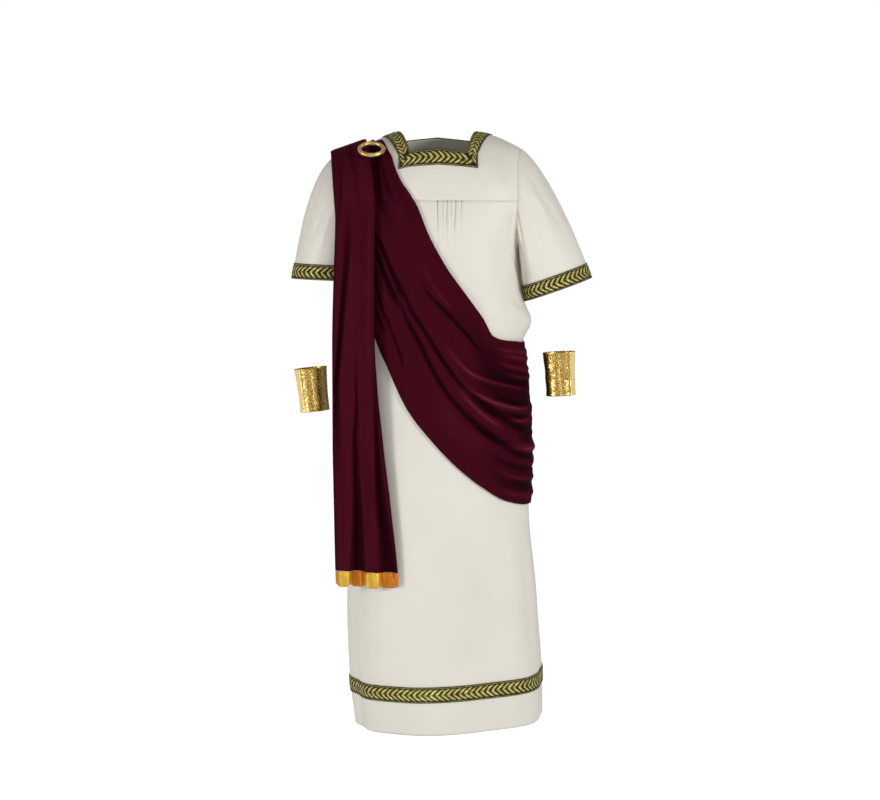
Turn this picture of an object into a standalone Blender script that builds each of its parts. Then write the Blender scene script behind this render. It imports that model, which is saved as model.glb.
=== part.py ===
"""Roman emperor costume: braid-trimmed tunic, velvet drape, ring brooch and wrist cuffs.

Metres, +Z up. The front faces -Y and the wearer's left is +X.
The origin is on top of the shoulders, in the middle of the neck.
Tables are in millimetres and degrees, with a row for each section or fold.
"""
from collections import namedtuple
from math import cos, exp, pi, radians, sin

import bmesh
import bpy
from mathutils import Matrix, Vector

MM = 0.001
FRONT = 1
BACK = -1
LEFT = 1
RIGHT = -1

# Walls and gaps
CREPE = 0.0015
VELVET = 0.0020
SATIN = 0.0015
BRAID = 0.0015
FOIL = 0.0015
SEAM = 0.0006
BRAID_LIFT = 0.0006
BRAID_WIDTH = 0.036
MITRE_GAP = 0.0012
MITRE_SHARE = 0.004

# Heights on the cloth are measured upwards from the yoke seam. The shoulder line is at SHOULDER.
YOKE_SEAM = -0.160
SHOULDER = 0.210
SHOULDER_GAP = 0.0009
SHOULDER_Y = 0.008
SHOULDER_CENTRE = -0.006
NECK_FRONT = 0.101
BACK_LEANS_FROM = 0.060
HEM_BRAID_TOP = -1.094
HEM_TILT = 0.036
HEM_TILTS_BELOW = 0.7

Level = namedtuple("Level", "height half_width front back centre square")
LEVELS = [
    Level(-1205, 220, 172, 165, 20, 2.20),
    Level(-1100, 225, 168, 160, 13, 2.20),
    Level(-925, 222, 162, 154, 4, 2.20),
    Level(-700, 206, 156, 148, 1, 2.20),
    Level(-565, 208, 150, 142, 0, 2.20),
    Level(-445, 202, 142, 132, 0, 2.25),
    Level(-330, 192, 136, 124, -2, 2.30),
    Level(-280, 199, 138, 126, -2, 2.30),
    Level(-235, 195, 138, 126, -3, 2.30),
    Level(-155, 184, 134, 125, -4, 2.35),
    Level(-112, 183, 132, 125, -4, 2.40),
    Level(-55, 197, 127, 122, -4, 2.50),
    Level(0, 212, 118, 116, -4, 2.60),
]

# Where each panel stops at the armhole: turn from the middle of the front or the back
Armhole = namedtuple("Armhole", "height front back")
ARMHOLE = [
    Armhole(-112, 90, 90),
    Armhole(-105, 79, 80),
    Armhole(-85, 67, 68),
    Armhole(-55, 57.5, 59),
    Armhole(-25, 54, 56),
    Armhole(0, 52, 54),
]

# Shoulder line, from the neck out: share of the panel, distance out and height on each side
Ridge = namedtuple("Ridge", "share across left right")
RIDGE = [
    Ridge(0, 0, 8, 8),
    Ridge(0.323, 90, -2, -2),
    Ridge(0.456, 126, -9, -14),
    Ridge(0.70, 156, -21, -28),
    Ridge(1, 190, -38, -42),
]
# Shares at which the neck's edge and the braid's outer edge run
NECK_SHARE = 0.323
COLLAR_SHARE = 0.456

Gather = namedtuple("Gather", "turn depth length")
GATHERS = [
    Gather(-0.5, 2.6, 110),
    Gather(2.8, 2.0, 80),
    Gather(5.4, 2.4, 95),
    Gather(7.9, 2.0, 70),
    Gather(10.6, 2.6, 115),
    Gather(14.0, 2.0, 70),
]
GATHER_WIDTH = 1.3

# Soft folds of the skirt, by turn round the whole hem from the middle of the front
Fold = namedtuple("Fold", "turn width height")
SKIRT_FOLDS = [
    Fold(-66, 9, -7),
    Fold(-48, 9, 5),
    Fold(-12, 18, 9),
    Fold(26, 14, -8),
    Fold(54, 12, 5),
    Fold(80, 8, -4),
    Fold(104, 10, 6),
    Fold(124, 9, -7),
    Fold(147, 11, 7),
    Fold(171, 10, -7),
    Fold(-165, 11, 7),
    Fold(-142, 9, -7),
    Fold(-118, 10, 7),
    Fold(-97, 8, -5),
]
# The tunic blouses out over the sash at the wearer's left side
Blouse = namedtuple("Blouse", "turn width height spread out")
BLOUSE = Blouse(86, 24, -272, 30, 14)
SKIRT_FOLD_TOP = -0.620
SKIRT_FOLD_FULL = -1.100
GATHERS_END = -0.130

# Heights of the grid rows, where the tables and the braids need one
YOKE_ROWS = [0, 33, 66, 101, 137, 174, 210]
BACK_YOKE_ROWS = [0, 53, 107, 143, 176, 210]
BODY_ROWS = [-1205, -1130, -1094, -1000, -900, -790, -690, -565, -445, -380, -330, -300, -270,
             -240, -200, -155, -112, -105, -85, -55, -25, 0]
YOKE_SHARES = [-1, -0.81, -0.63, -0.456, -0.323, -0.16, 0, 0.16, 0.323, 0.456, 0.63, 0.81, 1]
BACK_YOKE_SHARES = [0, 0.10, 0.21, 0.323, 0.456, 0.53, 0.61, 0.74, 0.87, 1]

# Sash: its upper and lower edge on the tunic, from the shoulder round to the side
Sash = namedtuple("Sash", "step upper_turn upper_height lower_turn lower_height fold flat")
SASH_FRONT = [
    Sash(0, -27.5, 169, -48, 196, 2.5, 0.0),
    Sash(1, -28, 122, -50, 132, 2.5, 0.0),
    Sash(2, -26, 78, -51, 59, 3.0, 0.2),
    Sash(3, -22, 39, -52, -20, 3.5, 0.5),
    Sash(4, -14, -4, -51, -105, 4.0, 0.8),
    Sash(5, -6, -80, -49, -195, 4.5, 1.0),
    Sash(6, 6, -151, -44.5, -307, 5.5, 1.0),
    Sash(7, 17.4, -207, -34, -380, 6.5, 1.0),
    Sash(8, 27, -256, -20, -472, 7.5, 0.9),
    Sash(9, 36, -304, -5, -540, 9.0, 0.6),
    Sash(10, 46, -314, 10, -597, 10.0, 0.4),
    Sash(11, 57, -317, 26, -644, 11.0, 0.2),
    Sash(12, 68, -320, 44, -679, 11.0, 0.0),
    Sash(13, 79, -323, 66, -693, 10.5, 0.0),
    Sash(14, 90, -325, 90, -696, 10.0, 0.0),
]
SASH_BACK = [
    Sash(0, 90, -325, 90, -696, 10.0, 0.0),
    Sash(1, 77, -320, 75, -689, 10.0, 0.0),
    Sash(2, 62, -303, 58, -671, 9.5, 0.1),
    Sash(3, 46, -267, 40, -635, 9.0, 0.3),
    Sash(4, 30, -217, 22, -575, 8.5, 0.5),
    Sash(5, 14, -155, 5, -495, 8.0, 0.6),
    Sash(6, -1, -85, -12, -400, 7.0, 0.6),
    Sash(7, -14, -15, -28, -295, 6.0, 0.5),
    Sash(8, -25, 49, -40, -185, 4.5, 0.3),
    Sash(9, -31, 103, -47, -70, 3.5, 0.1),
    Sash(10, -32, 147, -49, 34, 3.0, 0.0),
    Sash(11, -32.5, 181, -50, 127, 2.5, 0.0),
    Sash(12, -33, 207, -50, 205, 2.5, 0.0),
]
SASH_FOLDS = 6
SASH_CLEAR = 0.0025
SASH_COLUMNS = 24
SASH_FRONT_ROWS = 22
SASH_BACK_ROWS = 19
SASH_GAP = 0.0011

# Fall: its outer and inner edge below the yoke seam
Fall = namedtuple("Fall", "height outer_x outer_y inner_x inner_y pleat")
FALL = [
    Fall(-872, -237, -116, -94, -156, 17),
    Fall(-835, -238, -116, -96, -154, 17),
    Fall(-676, -241, -114, -112, -146, 15),
    Fall(-543, -243, -113, -128, -140, 14),
    Fall(-330, -243, -112, -146, -132, 12),
    Fall(-225, -241, -111, -147, -129, 10),
    Fall(-112, -237, -109, -146, -124, 8),
    Fall(-45, -235, -106, -145, -121, 7),
    Fall(0, -238, -101, -144, -117, 6),
]
FALL_TOP_OUTER = (-252, 8, -48.5)
FALL_TOP_INNER = (-172, 8, -20.5)
FALL_BACK_OUTER = (-240, 104, -150)
FALL_BACK_INNER = (-166, 121, -150)
FALL_TOP_PLEAT = 4
FALL_ARCH = 0.210
FALL_END = -0.872
FALL_SATIN = -0.836
FALL_ROWS = [-835.5, -740, -620, -480, -330, -200, -90, 0, 50, 100, 150, 200, 250, 294]
FALL_COLUMNS = 32

# How far each place across the fall stands forward, from its outer edge in
Pleat = namedtuple("Pleat", "place forward")
PLEATS = [
    Pleat(0.00, 0.60),
    Pleat(0.05, 0.95),
    Pleat(0.10, 0.70),
    Pleat(0.15, 1.00),
    Pleat(0.25, 1.00),
    Pleat(0.33, 0.06),
    Pleat(0.43, 0.00),
    Pleat(0.51, 1.00),
    Pleat(0.60, 0.88),
    Pleat(0.69, 1.00),
    Pleat(0.78, 0.06),
    Pleat(0.90, 0.00),
    Pleat(1.00, 0.25),
]

# Sleeves: end ellipse and the pull of the cloth as it leaves the shoulder and meets the braid
Sleeve = namedtuple("Sleeve", "side end_centre end_out end_depth end_axis top_start top_end")
SLEEVES = {
    LEFT: Sleeve(LEFT, (273, -4, -362), (76, 0, 27), 74, (0.35, 0, -0.937), (40, 0, -24), 180),
    RIGHT: Sleeve(RIGHT, (-271, -4, -340), (-70, 0, 3), 74, (-0.18, 0, -0.984), (-94, 0, 2), 140),
}
LOOP_UNDERARM = 11
UNDERARM_START = (12, 0, -26)
UNDERARM_END = 34
SLEEVE_SWELL = 0.020
SLEEVE_ROWS = [0, 0.10, 0.24, 0.40, 0.56, 0.72, 0.86, 1]

BROOCH_CENTRE = Vector((-0.1545, -0.0760, -0.0450))
BROOCH_RADIUS = 0.027
BROOCH_TUBE = 0.0045
BROOCH_TILT = radians(29)

Cuff = namedtuple("Cuff", "side x y z lean")
CUFFS = [Cuff(LEFT, 275, -45, -554, 3), Cuff(RIGHT, -292, -45, -590, 6)]
CUFF_HEIGHT = 0.100
CUFF_TOP = (0.0360, 0.0320)
CUFF_BOTTOM = (0.0325, 0.0290)
CUFF_FLARE = 0.0012

Finish = namedtuple("Finish", "colour roughness metallic")
FINISHES = {
    "cream_crepe": Finish((0.74, 0.71, 0.62), 0.55, 0.0),
    "leaf_braid": Finish((0.20, 0.18, 0.07), 0.45, 0.3),
    "burgundy_velvet": Finish((0.055, 0.005, 0.011), 0.80, 0.0),
    "gold_satin": Finish((0.65, 0.35, 0.045), 0.35, 0.2),
    "gold_foil": Finish((0.60, 0.40, 0.10), 0.28, 0.8),
    "gold_metal": Finish((0.55, 0.38, 0.14), 0.35, 1.0),
}


# Helpers for tables, materials and cloth
def read(rows, column, at):
    """A table's named column at a place in its first column, smooth and without overshoot."""
    places = [row[0] for row in rows]
    values = [getattr(row, column) for row in rows]
    if at <= places[0]:
        return values[0]
    if at >= places[-1]:
        return values[-1]
    steps = [(values[i + 1] - values[i]) / (places[i + 1] - places[i]) for i in range(len(rows) - 1)]
    slopes = [steps[0]]
    for before, after in zip(steps, steps[1:]):
        slopes.append(2 * before * after / (before + after) if before * after > 0 else 0.0)
    slopes.append(steps[-1])
    i = max(k for k in range(len(rows) - 1) if places[k] <= at)
    span = places[i + 1] - places[i]
    t = (at - places[i]) / span
    rise = values[i + 1] - values[i]
    start = slopes[i] * span
    end = slopes[i + 1] * span
    return values[i] + t * (start + t * (3 * rise - 2 * start - end + t * (start + end - 2 * rise)))


def ease(value):
    value = min(1.0, max(0.0, value))
    return value * value * (3 - 2 * value)


def mix(first, second, share):
    return first + (second - first) * share


def vector(millimetres):
    return Vector(millimetres) * MM


def material(name):
    made = bpy.data.materials.get(name)
    if made:
        return made
    finish = FINISHES[name]
    made = bpy.data.materials.new(name)
    made.use_nodes = True
    shader = made.node_tree.nodes["Principled BSDF"]
    shader.inputs["Base Color"].default_value = (*finish.colour, 1)
    shader.inputs["Roughness"].default_value = finish.roughness
    shader.inputs["Metallic"].default_value = finish.metallic
    return made


def add_object(name, mesh, finish):
    data = bpy.data.meshes.new(name)
    mesh.to_mesh(data)
    mesh.free()
    data.shade_smooth()
    made = bpy.data.objects.new(name, data)
    bpy.context.scene.collection.objects.link(made)
    made.data.materials.append(material(finish))
    return made


def sheet(name, columns, rows, place, wall, finish, keep=None, flip=False):
    """Cloth of columns by rows: place(column, row) is its outer face, and the wall goes inwards."""
    mesh = bmesh.new()
    bmesh.ops.create_grid(mesh, x_segments=columns, y_segments=rows, size=0.5)
    if keep:
        cut = []
        for face in mesh.faces:
            middle = face.calc_center_median()
            if not keep((middle.x + 0.5) * columns, (middle.y + 0.5) * rows):
                cut.append(face)
        bmesh.ops.delete(mesh, geom=cut, context="FACES")
    for vert in mesh.verts:
        vert.co = place(round((vert.co.x + 0.5) * columns), round((vert.co.y + 0.5) * rows))
    bmesh.ops.remove_doubles(mesh, verts=mesh.verts, dist=1e-6)
    if flip:
        bmesh.ops.reverse_faces(mesh, faces=mesh.faces)
    made = add_object(name, mesh, finish)
    solid = made.modifiers.new("wall", "SOLIDIFY")
    solid.thickness = wall
    solid.offset = -1
    solid.use_quality_normals = True
    return made


# Tunic form
def ring(face, turn, height):
    """Point of the smooth tunic below the yoke seam, on a section with rounded corners."""
    at = height / MM
    square = read(LEVELS, "square", at)
    across = sin(radians(turn))
    depth = cos(radians(turn))
    reach = (abs(across) ** square + abs(depth) ** square) ** (-1 / square)
    x = MM * (read(LEVELS, "centre", at) + read(LEVELS, "half_width", at) * reach * across)
    y = -face * MM * read(LEVELS, "front" if face == FRONT else "back", at) * reach * depth
    tilt = HEM_TILT * x * ease((-height - HEM_TILTS_BELOW) / 0.4)
    return Vector((x, y, YOKE_SEAM + height + tilt))


def top_turn(face):
    """Turn at which the panel meets the armhole, from the yoke seam up."""
    return ARMHOLE[-1].front if face == FRONT else ARMHOLE[-1].back


def tunic_point(face, turn, height):
    """Point of the smooth tunic. Above the yoke seam it arches over to the shoulder line."""
    if height <= 0:
        return ring(face, turn, height)
    foot = ring(face, turn, 0)
    share = turn / top_turn(face)
    side = LEFT if share > 0 else RIGHT
    top_x = SHOULDER_CENTRE + side * MM * read(RIDGE, "across", abs(share))
    top_z = MM * read(RIDGE, "left" if side == LEFT else "right", abs(share))
    leans_from = NECK_FRONT if face == FRONT else BACK_LEANS_FROM
    lean = max(0.0, (height - leans_from) / (SHOULDER - leans_from))
    climb = height / SHOULDER * pi / 2
    x = mix(foot.x, top_x, lean)
    y = mix(SHOULDER_Y, foot.y, cos(climb))
    z = mix(foot.z, top_z, sin(climb))
    return Vector((x, y, z))


def outward(face, turn, height):
    round_it = tunic_point(face, turn + 0.5, height) - tunic_point(face, turn - 0.5, height)
    if height > 0:
        up_it = tunic_point(face, turn, height) - tunic_point(face, turn, height - 0.002)
    else:
        up_it = tunic_point(face, turn, min(height + 0.001, 0)) - tunic_point(face, turn, height - 0.002)
    return round_it.cross(up_it).normalized() * face


def folds(face, turn, height):
    """How far the folds move the tunic's face out: the gathers at the yoke and the skirt's soft folds."""
    out = 0.0
    if face == FRONT and GATHERS_END < height <= 0:
        for gather in GATHERS:
            fade = 1 - ease(-height / (gather.length * MM))
            out -= gather.depth * MM * fade * exp(-((turn - gather.turn) / GATHER_WIDTH) ** 2)
    whole_turn = turn if face == FRONT else 180 - turn
    around = (whole_turn - BLOUSE.turn) / BLOUSE.width
    up = (height / MM - BLOUSE.height) / BLOUSE.spread
    out += BLOUSE.out * MM * exp(-around ** 2 - up ** 2)
    if height < SKIRT_FOLD_TOP:
        full = ease((SKIRT_FOLD_TOP - height) / (SKIRT_FOLD_TOP - SKIRT_FOLD_FULL))
        for fold in SKIRT_FOLDS:
            away = (whole_turn - fold.turn + 180) % 360 - 180
            out += fold.height * MM * full * exp(-(away / fold.width) ** 2)
    return out


def on_tunic(face, turn, height, lift=0.0):
    """Point on the tunic's outer face, folds and all, moved out by lift."""
    return tunic_point(face, turn, height) + outward(face, turn, height) * (folds(face, turn, height) + lift)


def edge_turn(face, height):
    """Turn at which a panel stops: at the side seam, or at the armhole above it."""
    return read(ARMHOLE, "front" if face == FRONT else "back", height / MM)


def front_columns():
    """Shares of the front panel's columns at its gathered top: one in each gather and between them."""
    turns = []
    for gather in GATHERS:
        turns += [gather.turn - 2.1 if not turns else (turns[-1] + gather.turn) / 2, gather.turn]
    turns.append(GATHERS[-1].turn + 3)
    limit = ARMHOLE[-1].front
    left = [mix(-limit, turns[0], i / 6) for i in range(6)]
    right = [mix(turns[-1], limit, i / 5) for i in range(1, 6)]
    return [turn / limit for turn in left + turns + right]


FRONT_SHARES = front_columns()
BACK_SHARES = [mix(-1, 1, i / 18) for i in range(19)]


def seam_inset(share):
    """A share at a panel's edge is pulled back by half a seam gap."""
    return share * (1 - 0.0018) if abs(share) == 1 else share


def front_turn(column, height):
    """Front column's turn: crowded at the gathers, evenly spread lower down."""
    even = mix(-1, 1, column / (len(FRONT_SHARES) - 1))
    share = mix(FRONT_SHARES[column], even, ease(-height / 0.45))
    return seam_inset(share) * edge_turn(FRONT, height)


def back_turn(column, height):
    return seam_inset(BACK_SHARES[-1 - column]) * edge_turn(BACK, height)


def row_height(rows, row):
    """Height of a grid row, with half a seam gap taken off at the yoke seam and the shoulder."""
    height = rows[row] * MM
    if rows[row] == 0 and rows[0] == 0:
        return SEAM / 2
    if rows[row] == 0 and rows[-1] == 0:
        return -SEAM / 2
    return min(height, SHOULDER - SHOULDER_GAP)


def make_tunic():
    def yoke(column, row):
        height = row_height(YOKE_ROWS, row)
        return on_tunic(FRONT, seam_inset(YOKE_SHARES[column]) * top_turn(FRONT), height)

    def below_neck(column, row):
        return not (4 < column < 8 and row > 3)

    sheet("tunic_yoke_front", len(YOKE_SHARES) - 1, len(YOKE_ROWS) - 1, yoke, CREPE, "cream_crepe",
          keep=below_neck)

    def front(column, row):
        height = row_height(BODY_ROWS, row)
        return on_tunic(FRONT, front_turn(column, height), height)

    sheet("tunic_front", len(FRONT_SHARES) - 1, len(BODY_ROWS) - 1, front, CREPE, "cream_crepe")

    back_rows = BODY_ROWS + BACK_YOKE_ROWS[1:]
    last_body_row = len(BODY_ROWS) - 1

    def back(column, row):
        height = row_height(back_rows, row)
        if row <= last_body_row:
            return on_tunic(BACK, back_turn(column, height), height)
        return on_tunic(BACK, seam_inset(back_yoke_share(column)) * top_turn(BACK), height)

    def below_back_neck(column, row):
        return not (6 < column < 12 and row > last_body_row + 3)

    sheet("tunic_back", len(BACK_SHARES) - 1, len(back_rows) - 1, back, CREPE, "cream_crepe",
          keep=below_back_neck)


def back_yoke_share(column):
    """Back columns above the yoke line: two of them run along the neck and its braid."""
    middle = len(BACK_YOKE_SHARES) - 1
    if column <= middle:
        return BACK_YOKE_SHARES[middle - column]
    return -BACK_YOKE_SHARES[column - middle]


# Sleeves
def armhole_loop(side):
    """Points round the armhole: shoulder, down the front, under the arm and up the back."""
    points = []
    for height in reversed(YOKE_ROWS[1:]):
        points.append(tunic_point(FRONT, side * top_turn(FRONT), height * MM))
    for row in reversed(ARMHOLE):
        points.append(tunic_point(FRONT, side * row.front, row.height * MM))
    for row in ARMHOLE[1:]:
        points.append(tunic_point(BACK, side * row.back, row.height * MM))
    for height in BACK_YOKE_ROWS[1:-1]:
        points.append(tunic_point(BACK, side * top_turn(BACK), height * MM))
    return [point + Vector((side * SEAM * 1.2, 0, 0)) for point in points]


def sleeve_curve(sleeve, loop, place):
    """Four control points of the curve that runs from the armhole to the sleeve's end at one place."""
    if place <= LOOP_UNDERARM:
        angle = pi * place / LOOP_UNDERARM
    else:
        angle = pi + pi * (place - LOOP_UNDERARM) / (len(loop) - LOOP_UNDERARM)
    start = loop[place]
    out = vector(sleeve.end_out) * cos(angle)
    end = vector(sleeve.end_centre) + out - Vector((0, sleeve.end_depth * MM * sin(angle), 0))
    under = (1 - cos(angle)) / 2
    swell = Vector((0, -SLEEVE_SWELL * sin(angle), 0))
    under_start = Vector((sleeve.side * UNDERARM_START[0], 0, UNDERARM_START[2])) * MM
    leave = mix(vector(sleeve.top_start), under_start, under)
    arrive = Vector(sleeve.end_axis).normalized() * mix(sleeve.top_end, UNDERARM_END, under) * MM
    return start, start + leave + swell, end - arrive + swell / 2, end


def on_curve(curve, along):
    start, first, second, end = curve
    rest = 1 - along
    return start * rest ** 3 + first * 3 * rest ** 2 * along + second * 3 * rest * along ** 2 + end * along ** 3


def braid_start(curve):
    """Where on the curve the braid's upper edge lies, a braid's width from the end."""
    low = 0.3
    high = 1.0
    for _ in range(30):
        middle = (low + high) / 2
        if (curve[3] - on_curve(curve, middle)).length > BRAID_WIDTH:
            low = middle
        else:
            high = middle
    return low


def sleeve_point(sleeve, loop, place, row, lift=0.0):
    """Point of a sleeve on one of its rows: the last two rows are the braid's edges."""
    curve = sleeve_curve(sleeve, loop, place % len(loop))
    along = SLEEVE_ROWS[row] * braid_start(curve) if row < len(SLEEVE_ROWS) else 1.0
    point = on_curve(curve, along)
    if lift:
        point += radial(vector(sleeve.end_centre), Vector(sleeve.end_axis).normalized(), point) * lift
    return point


def radial(centre, axis, point):
    away = point - centre
    away = away - axis * away.dot(axis)
    return away.normalized()


def make_sleeves():
    for side, word in ((LEFT, "left"), (RIGHT, "right")):
        sleeve = SLEEVES[side]
        loop = armhole_loop(side)

        def cloth(column, row):
            return sleeve_point(sleeve, loop, column, row)

        sheet(f"sleeve_{word}", len(loop), len(SLEEVE_ROWS), cloth, CREPE, "cream_crepe",
              flip=side == RIGHT)

        def braid(column, row):
            return sleeve_point(sleeve, loop, column, len(SLEEVE_ROWS) - 1 + row, BRAID_LIFT + BRAID)

        sheet(f"sleeve_braid_{word}", len(loop), 1, braid, BRAID, "leaf_braid", flip=side == RIGHT)


# Braids round the neck and hem
def make_neck_braids():
    lift = BRAID_LIFT + BRAID

    def strip(face, name, rows, shares):
        def place(column, row):
            share = shares[column]
            side = LEFT if share > 0 else RIGHT
            if abs(share) == COLLAR_SHARE:
                share = side * (NECK_SHARE if row == 1 else COLLAR_SHARE - MITRE_SHARE)
            return on_tunic(face, share * top_turn(face) * face, rows[row] * MM, lift)

        sheet(name, len(shares) - 1, 1, place, BRAID, "leaf_braid")

    strip(FRONT, "neck_braid_front", [66, 101], [x for x in YOKE_SHARES if abs(x) <= COLLAR_SHARE])
    half = [x for x in BACK_YOKE_SHARES if x <= COLLAR_SHARE]
    strip(BACK, "neck_braid_back", [107, 143], [-x for x in reversed(half[1:])] + half)

    inner = [(FRONT, 101), (FRONT, 101), (FRONT, 137), (FRONT, 174), (FRONT, 210),
             (BACK, 176), (BACK, 143), (BACK, 143)]
    outer = [(FRONT, 66), (FRONT, 101), (FRONT, 137), (FRONT, 174), (FRONT, 210),
             (BACK, 176), (BACK, 143), (BACK, 107)]
    for side, word in ((LEFT, "left"), (RIGHT, "right")):
        def place(column, row):
            is_outer = (column == 1) == (side == LEFT)
            face, height = (outer if is_outer else inner)[row]
            share = COLLAR_SHARE if is_outer else NECK_SHARE
            mitred = (0, len(inner) - 1) if is_outer else (0, 1, len(inner) - 2, len(inner) - 1)
            gap = MITRE_GAP if row in mitred else 0
            return on_tunic(face, side * share * top_turn(face), height * MM + gap, lift)

        sheet(f"neck_braid_{word}", 1, len(inner) - 1, place, BRAID, "leaf_braid")


def make_hem_braids():
    heights = [HEM_BRAID_TOP - BRAID_WIDTH, HEM_BRAID_TOP]

    def front(column, row):
        return on_tunic(FRONT, front_turn(column, heights[row]), heights[row], BRAID_LIFT + BRAID)

    def back(column, row):
        return on_tunic(BACK, back_turn(column, heights[row]), heights[row], BRAID_LIFT + BRAID)

    sheet("hem_braid_front", len(FRONT_SHARES) - 1, 1, front, BRAID, "leaf_braid")
    sheet("hem_braid_back", len(BACK_SHARES) - 1, 1, back, BRAID, "leaf_braid")


# Drape
def sash_point(face, rows, across, along):
    """Point of the sash: across from its upper edge to its lower one, along from its first row."""
    step = along * rows[-1].step
    turn = mix(read(rows, "upper_turn", step), read(rows, "lower_turn", step), across)
    height = MM * mix(read(rows, "upper_height", step), read(rows, "lower_height", step), across)
    wave = (across * SASH_FOLDS) % 1
    ridge = 0.5 - 0.5 * cos(2 * pi * wave ** 0.8)
    flat = read(rows, "flat", step)
    hold = mix(1, ease((across - 0.10) / 0.45), flat)
    out = MM * read(rows, "fold", step) * ridge * hold
    return on_tunic(face, turn, height, SASH_CLEAR + VELVET + out)


def make_sashes():
    for face, rows, count, name in ((FRONT, SASH_FRONT, SASH_FRONT_ROWS, "front"),
                                    (BACK, SASH_BACK, SASH_BACK_ROWS, "back")):
        def place(column, row):
            along = row / count
            if face == FRONT and row == count:
                along -= SASH_GAP
            if face == BACK and row == 0:
                along += SASH_GAP
            return sash_point(face, rows, column / SASH_COLUMNS, along)

        sheet(f"drape_sash_{name}", SASH_COLUMNS, count, place, VELVET, "burgundy_velvet")


def fall_point(across, height):
    """Point of the fall: below the yoke seam it hangs, above it arches over to the back."""
    forward = read(PLEATS, "forward", across)
    at = min(height / MM, 0)
    outer = vector((read(FALL, "outer_x", at), read(FALL, "outer_y", at), YOKE_SEAM / MM + at))
    inner = vector((read(FALL, "inner_x", at), read(FALL, "inner_y", at), YOKE_SEAM / MM + at))
    hang = mix(outer, inner, across)
    pleat = MM * read(FALL, "pleat", at)
    if height <= 0:
        return hang + Vector((0, -pleat * forward, 0))
    top = mix(vector(FALL_TOP_OUTER), vector(FALL_TOP_INNER), across)
    top_pleat = MM * FALL_TOP_PLEAT
    if height <= FALL_ARCH:
        climb = height / FALL_ARCH * pi / 2
        point = Vector((mix(hang.x, top.x, height / FALL_ARCH), mix(top.y, hang.y, cos(climb)),
                        mix(hang.z, top.z, sin(climb))))
        depth = mix(pleat, top_pleat, height / FALL_ARCH) * forward
        return point + Vector((0, -cos(climb), sin(climb))) * depth
    foot = mix(vector(FALL_BACK_OUTER), vector(FALL_BACK_INNER), across)
    climb = (2 - height / FALL_ARCH) * pi / 2
    point = Vector((mix(foot.x, top.x, sin(climb)), mix(top.y, foot.y, cos(climb)),
                    mix(foot.z, top.z, sin(climb))))
    return point + Vector((0, cos(climb), sin(climb))) * top_pleat * forward


def make_fall():
    def velvet(column, row):
        return fall_point(column / FALL_COLUMNS, FALL_ROWS[row] * MM)

    sheet("drape_fall", FALL_COLUMNS, len(FALL_ROWS) - 1, velvet, VELVET, "burgundy_velvet")

    def satin(column, row):
        return fall_point(column / FALL_COLUMNS, mix(FALL_END, FALL_SATIN, row / 2))

    sheet("drape_fall_hem", FALL_COLUMNS, 2, satin, SATIN, "gold_satin")


# Brooch and wrist cuffs
def make_brooch():
    mesh = bmesh.new()
    start = bmesh.ops.create_circle(mesh, segments=8, radius=BROOCH_TUBE)
    place = Matrix.Translation((BROOCH_RADIUS, 0, 0)) @ Matrix.Rotation(pi / 2, 4, "X")
    bmesh.ops.transform(mesh, matrix=place, verts=start["verts"])
    bmesh.ops.spin(mesh, geom=mesh.edges[:] + mesh.verts[:], axis=(0, 0, 1), cent=(0, 0, 0),
                   angle=2 * pi, steps=28, use_merge=True)
    bmesh.ops.recalc_face_normals(mesh, faces=mesh.faces)
    ring_made = add_object("brooch_ring", mesh, "gold_metal")
    ring_made.rotation_euler = (BROOCH_TILT, 0, 0)
    ring_made.location = BROOCH_CENTRE


def make_cuffs():
    columns = 24
    rows = 4
    for cuff in CUFFS:
        lean = Matrix.Rotation(-radians(cuff.lean), 3, "Y")

        def place(column, row):
            up = row / rows
            angle = 2 * pi * (column % columns) / columns
            flare = CUFF_FLARE * (2 * up - 1) ** 2
            x = (mix(CUFF_BOTTOM[0], CUFF_TOP[0], up) + flare) * cos(angle)
            y = (mix(CUFF_BOTTOM[1], CUFF_TOP[1], up) + flare) * sin(angle)
            z = (up - 0.5) * CUFF_HEIGHT
            return lean @ Vector((x, y, z)) + vector((cuff.x, cuff.y, cuff.z))

        word = "left" if cuff.side == LEFT else "right"
        sheet(f"wrist_cuff_{word}", columns, rows, place, FOIL, "gold_foil")


for old in list(bpy.data.objects):
    bpy.data.objects.remove(old, do_unlink=True)

make_tunic()
make_sleeves()
make_neck_braids()
make_hem_braids()
make_sashes()
make_fall()
make_brooch()
make_cuffs()
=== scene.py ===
"""Looks of the roman emperor costume: crepe tunic, leaf braid, velvet drape, ring brooch and foil cuffs."""
from bisect import bisect_right
from collections import namedtuple
from functools import lru_cache
from math import cos, exp, hypot, pi, radians, sin, sqrt

import bmesh
import bpy
from mathutils import Matrix, Vector, noise


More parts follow.
